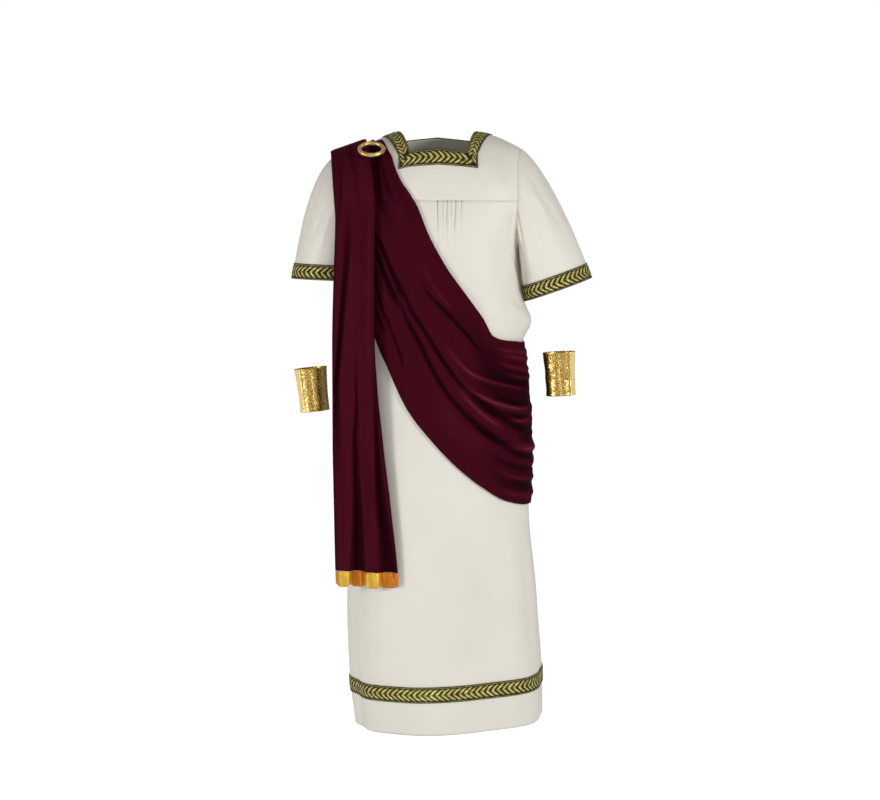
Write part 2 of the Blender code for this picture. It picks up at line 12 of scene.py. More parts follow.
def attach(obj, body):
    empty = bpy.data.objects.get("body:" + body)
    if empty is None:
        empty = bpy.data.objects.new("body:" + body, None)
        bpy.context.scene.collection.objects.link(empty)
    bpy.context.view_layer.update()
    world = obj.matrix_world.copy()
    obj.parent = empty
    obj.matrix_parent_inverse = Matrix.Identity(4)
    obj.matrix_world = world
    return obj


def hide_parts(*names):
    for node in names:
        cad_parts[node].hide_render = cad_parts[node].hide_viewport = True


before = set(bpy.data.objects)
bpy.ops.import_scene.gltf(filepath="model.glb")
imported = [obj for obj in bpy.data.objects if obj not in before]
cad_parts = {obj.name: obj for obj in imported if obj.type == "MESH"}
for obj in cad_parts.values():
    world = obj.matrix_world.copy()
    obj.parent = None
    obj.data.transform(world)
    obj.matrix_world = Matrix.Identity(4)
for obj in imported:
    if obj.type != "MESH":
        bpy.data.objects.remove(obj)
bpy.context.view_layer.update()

# Studio: a pale paper floor and a white wall of light, a soft lamp on each side of the camera, a tall
# strip behind it and one lamp overhead. The camera stands 4.3 m off at waist height and looks down by five
# degrees.
Lamp = namedtuple("Lamp", "name place aim width height power")
LAMPS = [
    Lamp("key_lamp", (2.9, -2.6, 0.3), (0, 0, -0.7), 0.6, 0.6, 68),
    Lamp("strip_lamp", (0, -4.5, -0.6), (0, 0, -0.7), 0.25, 1.8, 14),
    Lamp("fill_lamp", (-2.9, -1.9, -0.4), (0, 0, -0.8), 1, 1, 44),
    Lamp("top_lamp", (0.2, -0.9, 2.3), (0, 0, -0.4), 0.9, 0.9, 6),
]
FLOOR_Z = -1.53
FLOOR_SIZE = 24
AIR_LIGHT = 0.27

scene = bpy.context.scene
scene.view_settings.view_transform = "Standard"
camera = bpy.data.objects.new("camera", bpy.data.cameras.new("camera"))
scene.collection.objects.link(camera)
camera.location = (0, -4.3, -0.25)
camera.rotation_euler = (radians(85.1), 0, 0)
camera.data.lens = 76.1
camera.data.sensor_width = 36
scene.camera = camera

for lamp in LAMPS:
    light = bpy.data.lights.new(lamp.name, "AREA")
    light.shape = "RECTANGLE"
    light.size = lamp.width
    light.size_y = lamp.height
    light.energy = lamp.power
    holder = bpy.data.objects.new(lamp.name, light)
    scene.collection.objects.link(holder)
    holder.location = lamp.place
    holder.rotation_euler = (Vector(lamp.aim) - Vector(lamp.place)).to_track_quat("-Z", "Y").to_euler()


def node(owner, kind, inputs=None, **settings):
    """Adds a node: inputs are numbers, colours or other nodes' outputs."""
    made = owner.node_tree.nodes.new(kind)
    for name, value in settings.items():
        setattr(made, name, value)
    for name, value in (inputs or {}).items():
        if isinstance(value, bpy.types.NodeSocket):
            owner.node_tree.links.new(value, made.inputs[name])
        else:
            made.inputs[name].default_value = value
    return made


air = bpy.data.worlds.new("studio_air")
scene.world = air
air.use_nodes = True
air.node_tree.nodes.clear()
seen = node(air, "ShaderNodeBackground", {"Color": (1, 1, 1, 1), "Strength": 1.0})
lighting = node(air, "ShaderNodeBackground", {"Color": (0.97, 0.98, 1, 1), "Strength": AIR_LIGHT})
path = node(air, "ShaderNodeLightPath")
both = node(air, "ShaderNodeMixShader",
            {0: path.outputs["Is Camera Ray"], 1: lighting.outputs[0], 2: seen.outputs[0]})
node(air, "ShaderNodeOutputWorld", {"Surface": both.outputs[0]})


def material(name, roughness, metallic=0.0, **values):
    """A material, with the values that are the same all over set on its shader's sockets."""
    made = bpy.data.materials.new(name)
    made.use_nodes = True
    shader = made.node_tree.nodes["Principled BSDF"]
    shader.inputs["Roughness"].default_value = roughness
    shader.inputs["Metallic"].default_value = metallic
    for socket, value in values.items():
        shader.inputs[socket.replace("_", " ")].default_value = value
    return made


def link(owner, output, socket):
    """Links an output to a socket of the material's shader."""
    owner.node_tree.links.new(output, owner.node_tree.nodes["Principled BSDF"].inputs[socket])


def shades(owner, factor, *stops):
    """Gives a material colours that follow a texture: each stop is a place from 0 to 1 and a colour."""
    ramp = node(owner, "ShaderNodeValToRGB", {"Fac": factor})
    for index, (place, colour) in enumerate(stops):
        elements = ramp.color_ramp.elements
        element = elements[index] if index < 2 else elements.new(place)
        element.position = place
        element.color = (*colour, 1)
    link(owner, ramp.outputs["Color"], "Base Color")


def speckle(owner, where, scale, detail=2.0, stretch=(1, 1, 1)):
    spread = node(owner, "ShaderNodeMapping", {"Vector": where, "Scale": stretch})
    made = node(owner, "ShaderNodeTexNoise",
                {"Vector": spread.outputs[0], "Scale": scale, "Detail": detail, "Roughness": 0.55})
    return made.outputs["Fac"]


def object_place(owner):
    return node(owner, "ShaderNodeTexCoord").outputs["Object"]


def ranged(owner, value, low, high, first=0.0, last=1.0):
    """The value spread from first and last to low and high."""
    made = node(owner, "ShaderNodeMapRange",
                {"Value": value, "From Min": first, "From Max": last, "To Min": low, "To Max": high})
    return made.outputs[0]


def bump(owner, height, distance, below=None):
    made = node(owner, "ShaderNodeBump", {"Height": height, "Strength": 1.0, "Distance": distance})
    if below:
        owner.node_tree.links.new(below, made.inputs["Normal"])
    return made.outputs["Normal"]


paper = material("floor_paper", 0.9, Emission_Color=(1, 1, 1, 1))
where = object_place(paper)
grain = speckle(paper, where, 3, 4)
shades(paper, grain, (0.3, (0.86, 0.86, 0.86)), (0.7, (0.9, 0.9, 0.9)))
link(paper, bump(paper, speckle(paper, where, 60), 0.0004), "Normal")
seen = node(paper, "ShaderNodeLightPath").outputs["Is Camera Ray"]
link(paper, ranged(paper, seen, 0.20, 0.85), "Emission Strength")
mesh = bmesh.new()
bmesh.ops.create_grid(mesh, x_segments=2, y_segments=2, size=FLOOR_SIZE / 2)
bmesh.ops.translate(mesh, vec=(0, 0, FLOOR_Z), verts=mesh.verts)
floor_mesh = bpy.data.meshes.new("floor")
mesh.to_mesh(floor_mesh)
mesh.free()
floor = bpy.data.objects.new("floor", floor_mesh)
scene.collection.objects.link(floor)
floor_mesh.materials.append(paper)

# Tunic: cream satin-backed crepe. The long front is gathered into a shallow yoke at chest height, the back
# is cut in one, and both are sewn at the shoulders and sides. Heights are measured up from the yoke seam.
MM = 0.001
FRONT = 1
BACK = -1
LEFT = 1
RIGHT = -1
CREPE = 0.0010
HALF_SEAM = 0.00015
EDGE_INSET = 0.0005
YOKE_SEAM = -0.160
SHOULDER = 0.210
SHOULDER_Y = 0.008
SHOULDER_CENTRE = -0.006
NECK_FRONT = 0.101
BACK_LEANS_FROM = 0.060
HEM = -1.205
HEM_TILT = 0.036
HEM_TILTS_BELOW = 0.7
HEM_TILT_FADE = 0.4
TURN_MM = 3.3


def table(columns, *rows):
    """Rows whose values stand in the order of the named columns."""
    kind = namedtuple("Row", columns)
    return [kind(*row) for row in rows]


LEVELS = table(
    "height half_width front back centre square",
    (-1205, 220, 172, 165, 20, 2.2),
    (-1100, 225, 168, 160, 13, 2.2),
    (-925, 222, 162, 154, 4, 2.2),
    (-700, 206, 156, 148, 1, 2.2),
    (-565, 208, 150, 142, 0, 2.2),
    (-445, 202, 142, 132, 0, 2.25),
    (-330, 192, 136, 124, -2, 2.3),
    (-280, 199, 138, 126, -2, 2.3),
    (-235, 195, 138, 126, -3, 2.3),
    (-155, 184, 134, 125, -4, 2.35),
    (-112, 183, 132, 125, -4, 2.4),
    (-55, 197, 127, 122, -4, 2.5),
    (0, 212, 118, 116, -4, 2.6),
)

# Turn at which each panel stops at the armhole
ARMHOLE = table(
    "height front back",
    (-112, 90, 90), (-105, 79, 80), (-85, 67, 68), (-55, 57.5, 59), (-25, 54, 56), (0, 52, 54),
)

# Shoulder line, from the neck out
RIDGE = table(
    "share across left right",
    (0, 0, 8, 8), (0.323, 90, -2, -2), (0.456, 126, -9, -14), (0.7, 156, -21, -28),
    (1, 190, -38, -42),
)

GATHERS = table(
    "turn depth length",
    (-0.5, 5, 140), (1.1, 2, 50), (2.8, 4.4, 100), (4.1, 2.4, 60), (5.4, 5.2, 130), (6.6, 2, 40),
    (7.9, 4.4, 90), (9.3, 2.4, 70), (10.6, 5.2, 150), (12.4, 2.2, 50), (14, 3.8, 90),
)
GATHER_WIDTH = 0.62
GATHERS_END = -0.150

# Soft folds of the skirt, by turn round the whole hem from the middle of the front
SKIRT_FOLDS = table(
    "turn width height",
    (-66, 9, -7), (-48, 9, 5), (-12, 18, 9), (26, 14, -8), (54, 12, 5), (80, 8, -4), (104, 10, 6),
    (124, 9, -7), (147, 11, 7), (171, 10, -7), (-165, 11, 7), (-142, 9, -7), (-118, 10, 7),
    (-97, 8, -5),
)
SKIRT_FOLD_TOP = -0.620
SKIRT_FOLD_FULL = -1.100
Blouse = namedtuple("Blouse", "turn width height spread out")
BLOUSE = Blouse(86, 24, -272, 30, 14)

# Creases are soft troughs (or ridges, where depth is above 0), from one place to another, in millimetres
CREASE_ENDS = 3.5
CREASE = "x y to_x to_y bow width depth"
FRONT_CREASES = table(
    CREASE,
    (156, -6, 186, -120, 5, 4.5, -5.5),
    (168, -14, 190, -104, 4, 4, 2.6),
    (140, -30, 172, -128, -5, 6, -2.6),
    (128, -44, 170, -150, -8, 8, -1.9),
    (108, -56, 146, -164, -9, 9, -1.4),
    (196, -112, 250, -176, -6, 7, -3.2),
    (176, -150, 262, -214, -8, 9, -2),
    (120, -176, 236, -262, -10, 11, -1.6),
    (292, -106, 292, -260, 0, 18, 4.2),
    (150, -236, 286, -276, -6, 7, 2),
    (176, -258, 290, -300, 5, 6, -2.6),
    (60, -130, 96, -262, 8, 12, -1.1),
    (20, -96, 40, -214, 4, 10, -0.9),
    (-152, -10, -176, -104, -5, 6, -2.8),
    (-120, -40, -160, -150, 6, 8, -1.6),
    (-64, -420, -76, -820, 8, 16, 1.6),
    (-26, -560, -34, -1020, -7, 20, -1.7),
    (22, -640, 30, -1150, 6, 24, 1.5),
    (58, -620, 66, -980, -8, 16, -1.8),
    (104, -700, 122, -1190, 7, 20, -2),
    (150, -690, 158, -1060, -6, 14, 1.7),
    (196, -700, 206, -1196, 5, 14, -2.2),
    (242, -700, 240, -1120, 6, 13, 1.9),
    (-120, -620, -126, -1190, -6, 17, 1.7),
    (-172, -560, -168, -1150, 6, 15, -2),
    (-224, -600, -214, -1000, 5, 13, 1.6),
    (-262, -480, -256, -1190, -5, 12, -2),
)
BACK_CREASES = table(
    CREASE,
    (156, -6, 182, -100, 5, 6, -3),
    (-156, -6, -182, -100, -5, 6, -3),
    (120, 96, 150, -60, 7, 9, -1.8),
    (-118, 90, -146, -70, -6, 9, -1.7),
    (-20, 70, -28, -190, 6, 14, -1.5),
    (26, 60, 44, -160, -7, 13, 1.4),
    (78, 30, 98, -170, 6, 12, -1.6),
    (-70, 40, -96, -120, -6, 12, 1.4),
    (204, -120, 262, -190, -6, 8, -2.4),
    (150, -150, 268, -236, -9, 9, -1.9),
    (292, -106, 292, -260, 0, 18, 4.2),
    (176, -226, 284, -282, 6, 7, 2),
    (-40, -620, -52, -1190, 7, 18, -2),
    (8, -560, 14, -1080, -7, 22, 1.8),
    (60, -640, 66, -1190, 6, 18, -2.1),
    (112, -680, 124, -1120, -6, 15, 1.8),
    (170, -690, 176, -1190, 6, 15, -2.2),
    (228, -700, 226, -1140, 5, 12, 1.8),
    (-96, -520, -110, -1160, -7, 17, 1.9),
    (-152, -420, -158, -1190, 6, 15, -2.1),
    (-206, -440, -202, -1050, -6, 13, 1.8),
    (-256, -500, -248, -1190, 5, 12, -2),
)
YOKE_CREASES = table(
    CREASE,
    (-26, 62, 12, 8, 6, 8, -1.1),
    (58, 62, 22, 8, -6, 8, -1.1),
    (96, 60, 66, 10, -5, 9, -0.9),
    (120, 150, 150, 30, 6, 10, -1.6),
    (140, 180, 162, 90, 5, 7, 1.2),
    (-110, 60, -86, 8, 5, 9, -0.9),
)

# Grid places that the neck's cut and the braids need, from the middle out and from the yoke seam up
YOKE_ROWS = [0, 33, 66, 101, 137, 174, 210]
BACK_YOKE_ROWS = [0, 53, 107, 143, 176, 210]
YOKE_SHARES = [-1, -0.81, -0.63, -0.456, -0.323, -0.16, 0, 0.16, 0.323, 0.456, 0.63, 0.81, 1]
BACK_YOKE_SHARES = [0, 0.10, 0.21, 0.323, 0.456, 0.53, 0.61, 0.74, 0.87, 1]
FINER = 8
# Columns of the front crowd into its gathers
CROWD = table("across share", (0, -1), (0.24, -0.06), (0.76, 0.33), (1, 1))

CURVES = {}


def read(rows, column, at):
    """A table's named column at a place in its first column, smooth and without overshoot."""
    key = (id(rows), column)
    if key not in CURVES:
        places = [row[0] for row in rows]
        values = [getattr(row, column) for row in rows]
        steps = [(values[i + 1] - values[i]) / (places[i + 1] - places[i]) for i in range(len(rows) - 1)]
        slopes = [steps[0]]
        for before, after in zip(steps, steps[1:]):
            slopes.append(2 * before * after / (before + after) if before * after > 0 else 0.0)
        slopes.append(steps[-1])
        CURVES[key] = places, values, slopes
    places, values, slopes = CURVES[key]
    if at <= places[0]:
        return values[0]
    if at >= places[-1]:
        return values[-1]
    i = bisect_right(places, at) - 1
    span = places[i + 1] - places[i]
    t = (at - places[i]) / span
    rise = values[i + 1] - values[i]
    start = slopes[i] * span
    end = slopes[i + 1] * span
    return values[i] + t * (start + t * (3 * rise - 2 * start - end + t * (start + end - 2 * rise)))


def ease(value):
    value = min(1.0, max(0.0, value))
    return value * value * (3 - 2 * value)


def mix(first, second, share):
    return first + (second - first) * share


def bell(off, width):
    """1 where off is 0, and close to 0 beyond twice the width."""
    return exp(-(off / width) ** 2)


def between(values, place):
    """The list's value at a place that may lie between two of its items."""
    index = min(int(place), len(values) - 2)
    return mix(values[index], values[index + 1], place - index)


def creased(creases, x, y):
    """How far the creases move the cloth out at a place given in millimetres."""
    out = 0.0
    for crease in creases:
        run_x = crease.to_x - crease.x
        run_y = crease.to_y - crease.y
        length = hypot(run_x, run_y)
        along = ((x - crease.x) * run_x + (y - crease.y) * run_y) / length ** 2
        if 0 < along < 1:
            off = ((x - crease.x) * run_y - (y - crease.y) * run_x) / length
            off -= crease.bow * 4 * along * (1 - along)
            if abs(off) < 3 * crease.width:
                fade = ease(along * CREASE_ENDS) * ease((1 - along) * CREASE_ENDS)
                out += crease.depth * fade * bell(off, crease.width)
    return out * MM


def add_piece(name, mesh, finish):
    data = bpy.data.meshes.new(name)
    mesh.to_mesh(data)
    mesh.free()
    data.shade_smooth()
    data.materials.append(finish)
    made = bpy.data.objects.new(name, data)
    scene.collection.objects.link(made)
    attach(made, "root")
    return made


def cloth(name, columns, rows, place, size, wall, finish, raised=None, keep=None, flip=False,
          painted_shading_and_strip_at=None):
    """A thin shell: place(across, up) is its outer face, which raised(across, up) moves along its normal.
    The last function, of (across, up), gives its material painted shade where a spot sinks into the folds
    and painted highlight where it stands out; on the cuffs it also marks the smooth foil beside the seam."""
    mesh = bmesh.new()
    bmesh.ops.create_grid(mesh, x_segments=columns, y_segments=rows, size=0.5)
    if keep:
        cut = []
        for face in mesh.faces:
            middle = face.calc_center_median()
            if not keep(middle.x + 0.5, middle.y + 0.5):
                cut.append(face)
        bmesh.ops.delete(mesh, geom=cut, context="FACES")
    layer = mesh.loops.layers.uv.new("cut")
    # Float attribute for the materials: painted shade and painted highlight, and on the cuffs the smooth
    # strip
    painted_shading_and_strip = mesh.verts.layers.float.new("painted_shading_and_strip")
    spots = {}
    for vert in mesh.verts:
        across = vert.co.x + 0.5
        up = vert.co.y + 0.5
        for loop in vert.link_loops:
            loop[layer].uv = (across * size[0], up * size[1])
        spots[vert] = across, up
        vert[painted_shading_and_strip] = painted_shading_and_strip_at(across, up) / MM if painted_shading_and_strip_at else 0
        vert.co = place(across, up)
    bmesh.ops.remove_doubles(mesh, verts=mesh.verts, dist=1e-6)
    if flip:
        bmesh.ops.reverse_faces(mesh, faces=mesh.faces)
    if raised:
        mesh.normal_update()
        for vert in mesh.verts:
            vert.co += vert.normal * raised(*spots[vert])
    made = add_piece(name, mesh, finish)
    solid = made.modifiers.new("wall", "SOLIDIFY")
    solid.thickness = wall
    solid.offset = -1
    solid.use_quality_normals = True
    return made


def ring(face, turn, height):
    """Point of the smooth tunic below the yoke seam, on a section with rounded corners."""
    at = height / MM
    square = read(LEVELS, "square", at)
    across = sin(radians(turn))
    depth = cos(radians(turn))
    reach = (abs(across) ** square + abs(depth) ** square) ** (-1 / square)
    x = MM * (read(LEVELS, "centre", at) + read(LEVELS, "half_width", at) * reach * across)
    y = -face * MM * read(LEVELS, "front" if face == FRONT else "back", at) * reach * depth
    tilt = HEM_TILT * x * ease((-height - HEM_TILTS_BELOW) / HEM_TILT_FADE)
    return Vector((x, y, YOKE_SEAM + height + tilt))


def top_turn(face):
    return ARMHOLE[-1].front if face == FRONT else ARMHOLE[-1].back


def tunic_point(face, turn, height):
    """Point of the smooth tunic. Above the yoke seam it arches over to the shoulder line."""
    if height <= 0:
        return ring(face, turn, height)
    foot = ring(face, turn, 0)
    share = turn / top_turn(face)
    side = LEFT if share > 0 else RIGHT
    top_x = SHOULDER_CENTRE + side * MM * read(RIDGE, "across", abs(share))
    top_z = MM * read(RIDGE, "left" if side == LEFT else "right", abs(share))
    leans_from = NECK_FRONT if face == FRONT else BACK_LEANS_FROM
    lean = max(0.0, (height - leans_from) / (SHOULDER - leans_from))
    climb = height / SHOULDER * pi / 2
    x = mix(foot.x, top_x, lean)
    y = mix(SHOULDER_Y, foot.y, cos(climb))
    z = mix(foot.z, top_z, sin(climb))
    return Vector((x, y, z))


def outward(face, turn, height):
    round_it = tunic_point(face, turn + 0.5, height) - tunic_point(face, turn - 0.5, height)
    if height > 0:
        up_it = tunic_point(face, turn, height) - tunic_point(face, turn, height - 0.002)
    else:
        up_it = tunic_point(face, turn, min(height + 0.001, 0)) - tunic_point(face, turn, height - 0.002)
    return round_it.cross(up_it).normalized() * face


def folds(face, turn, height):
    """How far the gathers, the skirt's folds and the blousing move the tunic's face out."""
    out = 0.0
    if face == FRONT and GATHERS_END < height <= 0:
        for gather in GATHERS:
            fade = 1 - ease(-height / (gather.length * MM))
            out -= gather.depth * MM * fade * bell(turn - gather.turn, GATHER_WIDTH)
    whole_turn = turn if face == FRONT else 180 - turn
    around = (whole_turn - BLOUSE.turn) / BLOUSE.width
    up = (height / MM - BLOUSE.height) / BLOUSE.spread
    out += BLOUSE.out * MM * exp(-around ** 2 - up ** 2)
    if height < SKIRT_FOLD_TOP:
        full = ease((SKIRT_FOLD_TOP - height) / (SKIRT_FOLD_TOP - SKIRT_FOLD_FULL))
        for fold in SKIRT_FOLDS:
            away = (whole_turn - fold.turn + 180) % 360 - 180
            out += fold.height * MM * full * bell(away, fold.width)
    return out


def on_tunic(face, turn, height, lift=0.0):
    """Point on the tunic's outer face, folds and all, moved out by lift."""
    out = folds(face, turn, height) + lift
    return tunic_point(face, turn, height) + outward(face, turn, height) * out


def edge_turn(face, height):
    return read(ARMHOLE, "front" if face == FRONT else "back", height / MM)


def inset(share):
    """A share at a panel's edge is pulled back by half a seam."""
    return share * (1 - EDGE_INSET) if abs(share) == 1 else share


crepe = material("cream_crepe", 0.5, Sheen_Weight=0.12, Sheen_Roughness=0.4,
                 Specular_IOR_Level=0.35)
where = object_place(crepe)
dye = speckle(crepe, where, 7, 3)
shades(crepe, dye, (0.3, (0.715, 0.682, 0.602)), (0.72, (0.755, 0.720, 0.640)))
link(crepe, ranged(crepe, speckle(crepe, where, 60, 3), 0.46, 0.58), "Roughness")
pebble = bump(crepe, speckle(crepe, where, 1500, 2, (1, 1, 0.55)), 0.00012)
link(crepe, bump(crepe, speckle(crepe, where, 160, 3), 0.00025, pebble), "Normal")

DIP = 0.0003
DIP_WIDTH = 0.006


def seam_dip(distance):
    """Panels dip towards the stitches that join them."""
    return -DIP * bell(distance, DIP_WIDTH)


YOKE_LAP = 0.0012
YOKE_LIFT = 0.0003
YOKE_LAP_ROWS = 0.012
YOKE_ROLL = 0.0006
YOKE_ROLL_HEIGHT = 0.0035
YOKE_ROLL_WIDTH = 0.003
YOKE_HALF_WIDTH = 0.19
# The neck is cut out of the columns on each side of the middle, above this row
NECK_COLUMNS = 2
NECK_ROW = 3


def yoke_spot(across, up):
    share = inset(between(YOKE_SHARES, across * (len(YOKE_SHARES) - 1)))
    height = MM * between(YOKE_ROWS, up * (len(YOKE_ROWS) - 1))
    return share * top_turn(FRONT), min(height, SHOULDER - 2 * HALF_SEAM)


def yoke_place(across, up):
    """The yoke's lower edge laps over the top of the gathers."""
    turn, height = yoke_spot(across, up)
    lap = 1 - ease(height / YOKE_LAP_ROWS)
    return on_tunic(FRONT, turn, height - YOKE_LAP * lap) + outward(FRONT, turn, height) * YOKE_LIFT * lap


def yoke_raised(across, up):
    turn, height = yoke_spot(across, up)
    edge = YOKE_ROLL * bell(height - YOKE_ROLL_HEIGHT, YOKE_ROLL_WIDTH)
    arm = seam_dip((1 - abs(turn) / top_turn(FRONT)) * YOKE_HALF_WIDTH)
    return creased(YOKE_CREASES, turn * TURN_MM, height / MM) + edge + arm


def below_neck(across, up):
    columns = len(YOKE_SHARES) - 1
    off_middle = abs(across * columns - columns / 2)
    return not (off_middle < NECK_COLUMNS and up * (len(YOKE_ROWS) - 1) > NECK_ROW)


yoke = cloth("yoke_front", (len(YOKE_SHARES) - 1) * FINER, (len(YOKE_ROWS) - 1) * FINER, yoke_place,
             (0.42, 0.27), CREPE, crepe, yoke_raised, below_neck)
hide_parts("tunic_yoke_front")

# Height over which the columns crowded into the gathers spread out again
CROWD_END = 0.45
PANEL_HALF_WIDTH = 0.28


def front_spot(across, up):
    height = mix(HEM, -HALF_SEAM, up)
    crowded = read(CROWD, "share", across)
    share = mix(crowded, mix(-1, 1, across), ease(-height / CROWD_END))
    return inset(share) * edge_turn(FRONT, height), height


def side_dip(face, turn, height):
    return seam_dip((1 - abs(turn) / edge_turn(face, height)) * PANEL_HALF_WIDTH)


def front_place(across, up):
    return on_tunic(FRONT, *front_spot(across, up))


def front_raised(across, up):
    turn, height = front_spot(across, up)
    return creased(FRONT_CREASES, turn * TURN_MM, height / MM) + side_dip(FRONT, turn, height)


front = cloth("front_panel", 156, 176, front_place, (0.70, 1.205), CREPE, crepe,
              front_raised)
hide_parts("tunic_front")

BODY_PART = 0.78
BACK_SPREAD = 0.053
BACK_NECK_COLUMNS = 3


def back_row(up):
    """Place among the rows above the yoke's height."""
    return (up - BODY_PART) / (1 - BODY_PART) * (len(BACK_YOKE_ROWS) - 1)


def back_spot(across, up):
    height = mix(HEM, 0, up / BODY_PART) if up < BODY_PART else MM * between(BACK_YOKE_ROWS, back_row(up))
    even = mix(1, -1, across)
    place = abs(even) * (len(BACK_YOKE_SHARES) - 1)
    crowded = between(BACK_YOKE_SHARES, place) * (1 if even > 0 else -1)
    share = inset(mix(even, crowded, ease(height / BACK_SPREAD)))
    turn = share * (edge_turn(BACK, height) if height <= 0 else top_turn(BACK))
    return turn, min(height, SHOULDER - 2 * HALF_SEAM)


def back_place(across, up):
    return on_tunic(BACK, *back_spot(across, up))


def back_raised(across, up):
    turn, height = back_spot(across, up)
    return creased(BACK_CREASES, turn * TURN_MM, height / MM) + side_dip(BACK, turn, min(height, 0))


def below_back_neck(across, up):
    off_middle = abs(mix(1, -1, across)) * (len(BACK_YOKE_SHARES) - 1)
    return not (off_middle < BACK_NECK_COLUMNS and back_row(up) > NECK_ROW)


back = cloth("back_panel", 126, 200, back_place, (0.70, 1.42), CREPE, crepe, back_raised,
             below_back_neck)
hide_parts("tunic_back")

# Sleeves: short and wide, of the same crepe, set in with their seams on the armholes. The spare cloth
# gathers into folds that run down from under the arm.
SLEEVE_GAP = 0.0004
TUCK = 0.003
TUCK_DEPTH = 0.0007
TUCK_SHARE = 0.03
# Heights round the armhole: up the front to under the arm, then up the back
ROUND_HEIGHTS = [210, 174, 137, 101, 66, 33, 0, -25, -55, -85, -105, -112,
                 -105, -85, -55, -25, 0, 53, 107, 143, 176, 210]
ROUND = table("place height", *enumerate(ROUND_HEIGHTS))
ROUND_UNDERARM = 11
ROUND_PLACES = 21
SLEEVES = table(
    "side word end_centre end_out end_depth end_axis top_start top_end",
    (LEFT, "left", (273, -4, -362), (76, 0, 27), 74, (0.35, 0, -0.937), (40, 0, -24), 180),
    (RIGHT, "right", (-271, -4, -340), (-70, 0, 3), 74, (-0.18, 0, -0.984), (-94, 0, 2), 140),
)
UNDERARM_START = (12, 0, -26)
UNDERARM_END = 34
SLEEVE_SWELL = 0.020
SLEEVE_LENGTH = 0.2
SLEEVE_FADE_FROM = 0.62
SLEEVE_FADE_OVER = 0.2
BRAID_WIDTH = 0.036
# Across a sleeve, ten to each place round its armhole; down it, from 0 at the shoulder to 100 at its end
LEFT_CREASES = table(
    CREASE,
    (68, -6, 84, 78, 5, 2.6, -5.2),
    (77, 2, 91, 84, 4, 2.6, 4),
    (86, -8, 96, 92, -3, 2.4, -8),
    (93, 4, 100, 96, -2, 2.4, 4.5),
    (99, -8, 105, 104, 2, 2.2, -7),
    (112, -14, 112, 120, 0, 9, 4.4),
    (52, 8, 60, 60, -3, 3, -2.2),
    (30, 14, 26, 74, 3, 3.4, -1.9),
    (42, 20, 40, 66, -2, 2.6, 1.5),
    (12, 20, 10, 80, 2, 4, -1.4),
    (128, 8, 122, 80, -3, 3.4, -4),
    (150, 10, 142, 84, 3, 3.8, 2.4),
    (176, 14, 172, 82, -3, 4.2, -2.2),
    (196, 20, 200, 70, 2, 3.6, 1.4),
)
RIGHT_CREASES = table(
    CREASE,
    (70, 4, 80, 80, 4, 3.6, -4.5),
    (92, 8, 98, 86, -3, 3.2, -4),
    (54, 10, 50, 90, -3, 3.4, 2.2),
    (36, 8, 34, 84, 3, 3.2, -2.6),
    (20, 14, 24, 90, -2, 3.4, -1.8),
    (6, 30, 4, 86, 2, 3, 1.2),
    (130, 10, 124, 82, -3, 3.4, -3.6),
    (152, 12, 146, 84, 3, 3.8, 2.2),
    (178, 16, 170, 80, -3, 4.2, -2),
    (200, 16, 198, 74, -2, 3.6, -1.2),
)


def vector(millimetres):
    return Vector(millimetres) * MM


@lru_cache(maxsize=None)
def sleeve_curve(sleeve, place):
    """Four control points of the curve from the armhole to the sleeve's end, and where its braid starts."""
    height = read(ROUND, "height", place) * MM
    face = FRONT if place <= ROUND_UNDERARM else BACK
    turn = sleeve.side * (top_turn(face) if height > 0 else edge_turn(face, height))
    start = tunic_point(face, turn, height) + Vector((sleeve.side * SLEEVE_GAP, 0, 0))
    inside = outward(face, turn, height) * -TUCK_DEPTH - Vector((sleeve.side * TUCK, 0, 0))
    if place <= ROUND_UNDERARM:
        angle = pi * place / ROUND_UNDERARM
    else:
        angle = pi + pi * (place - ROUND_UNDERARM) / (ROUND_PLACES - ROUND_UNDERARM)
    out = vector(sleeve.end_out) * cos(angle)
    end = vector(sleeve.end_centre) + out - Vector((0, sleeve.end_depth * MM * sin(angle), 0))
    under = (1 - cos(angle)) / 2
    swell = Vector((0, -SLEEVE_SWELL * sin(angle), 0))
    under_start = Vector((sleeve.side * UNDERARM_START[0], 0, UNDERARM_START[2])) * MM
    leave = mix(vector(sleeve.top_start), under_start, under)
    arrive = Vector(sleeve.end_axis).normalized() * mix(sleeve.top_end, UNDERARM_END, under) * MM
    curve = start, start + leave + swell, end - arrive + swell / 2, end
    low = 0.3
    high = 1.0
    for _ in range(24):
        middle = (low + high) / 2
        if (end - on_curve(curve, middle)).length > BRAID_WIDTH:
            low = middle
        else:
            high = middle
    return curve, low, inside


def on_curve(curve, along):
    start, first, second, end = curve
    rest = 1 - along
    return (start * rest ** 3 + first * 3 * rest ** 2 * along + second * 3 * rest * along ** 2
            + end * along ** 3)


for sleeve in SLEEVES:
    def sleeve_place(across, up):
        curve, _, inside = sleeve_curve(sleeve, round(across * ROUND_PLACES, 6) % ROUND_PLACES)
        return on_curve(curve, up) + inside * (1 - ease(up / TUCK_SHARE))

    def sleeve_raised(across, up):
        creases = LEFT_CREASES if sleeve.side == LEFT else RIGHT_CREASES
        fade = 1 - ease((up - SLEEVE_FADE_FROM) / SLEEVE_FADE_OVER)
        return creased(creases, across * ROUND_PLACES * 10, up * 100) * fade + seam_dip(up * SLEEVE_LENGTH)

    piece = cloth(f"sleeve_cloth_{sleeve.word}", 168, 72, sleeve_place, (0.62, 0.25), CREPE, crepe,
                  sleeve_raised, flip=sleeve.side == RIGHT)
    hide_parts(f"sleeve_{sleeve.word}")

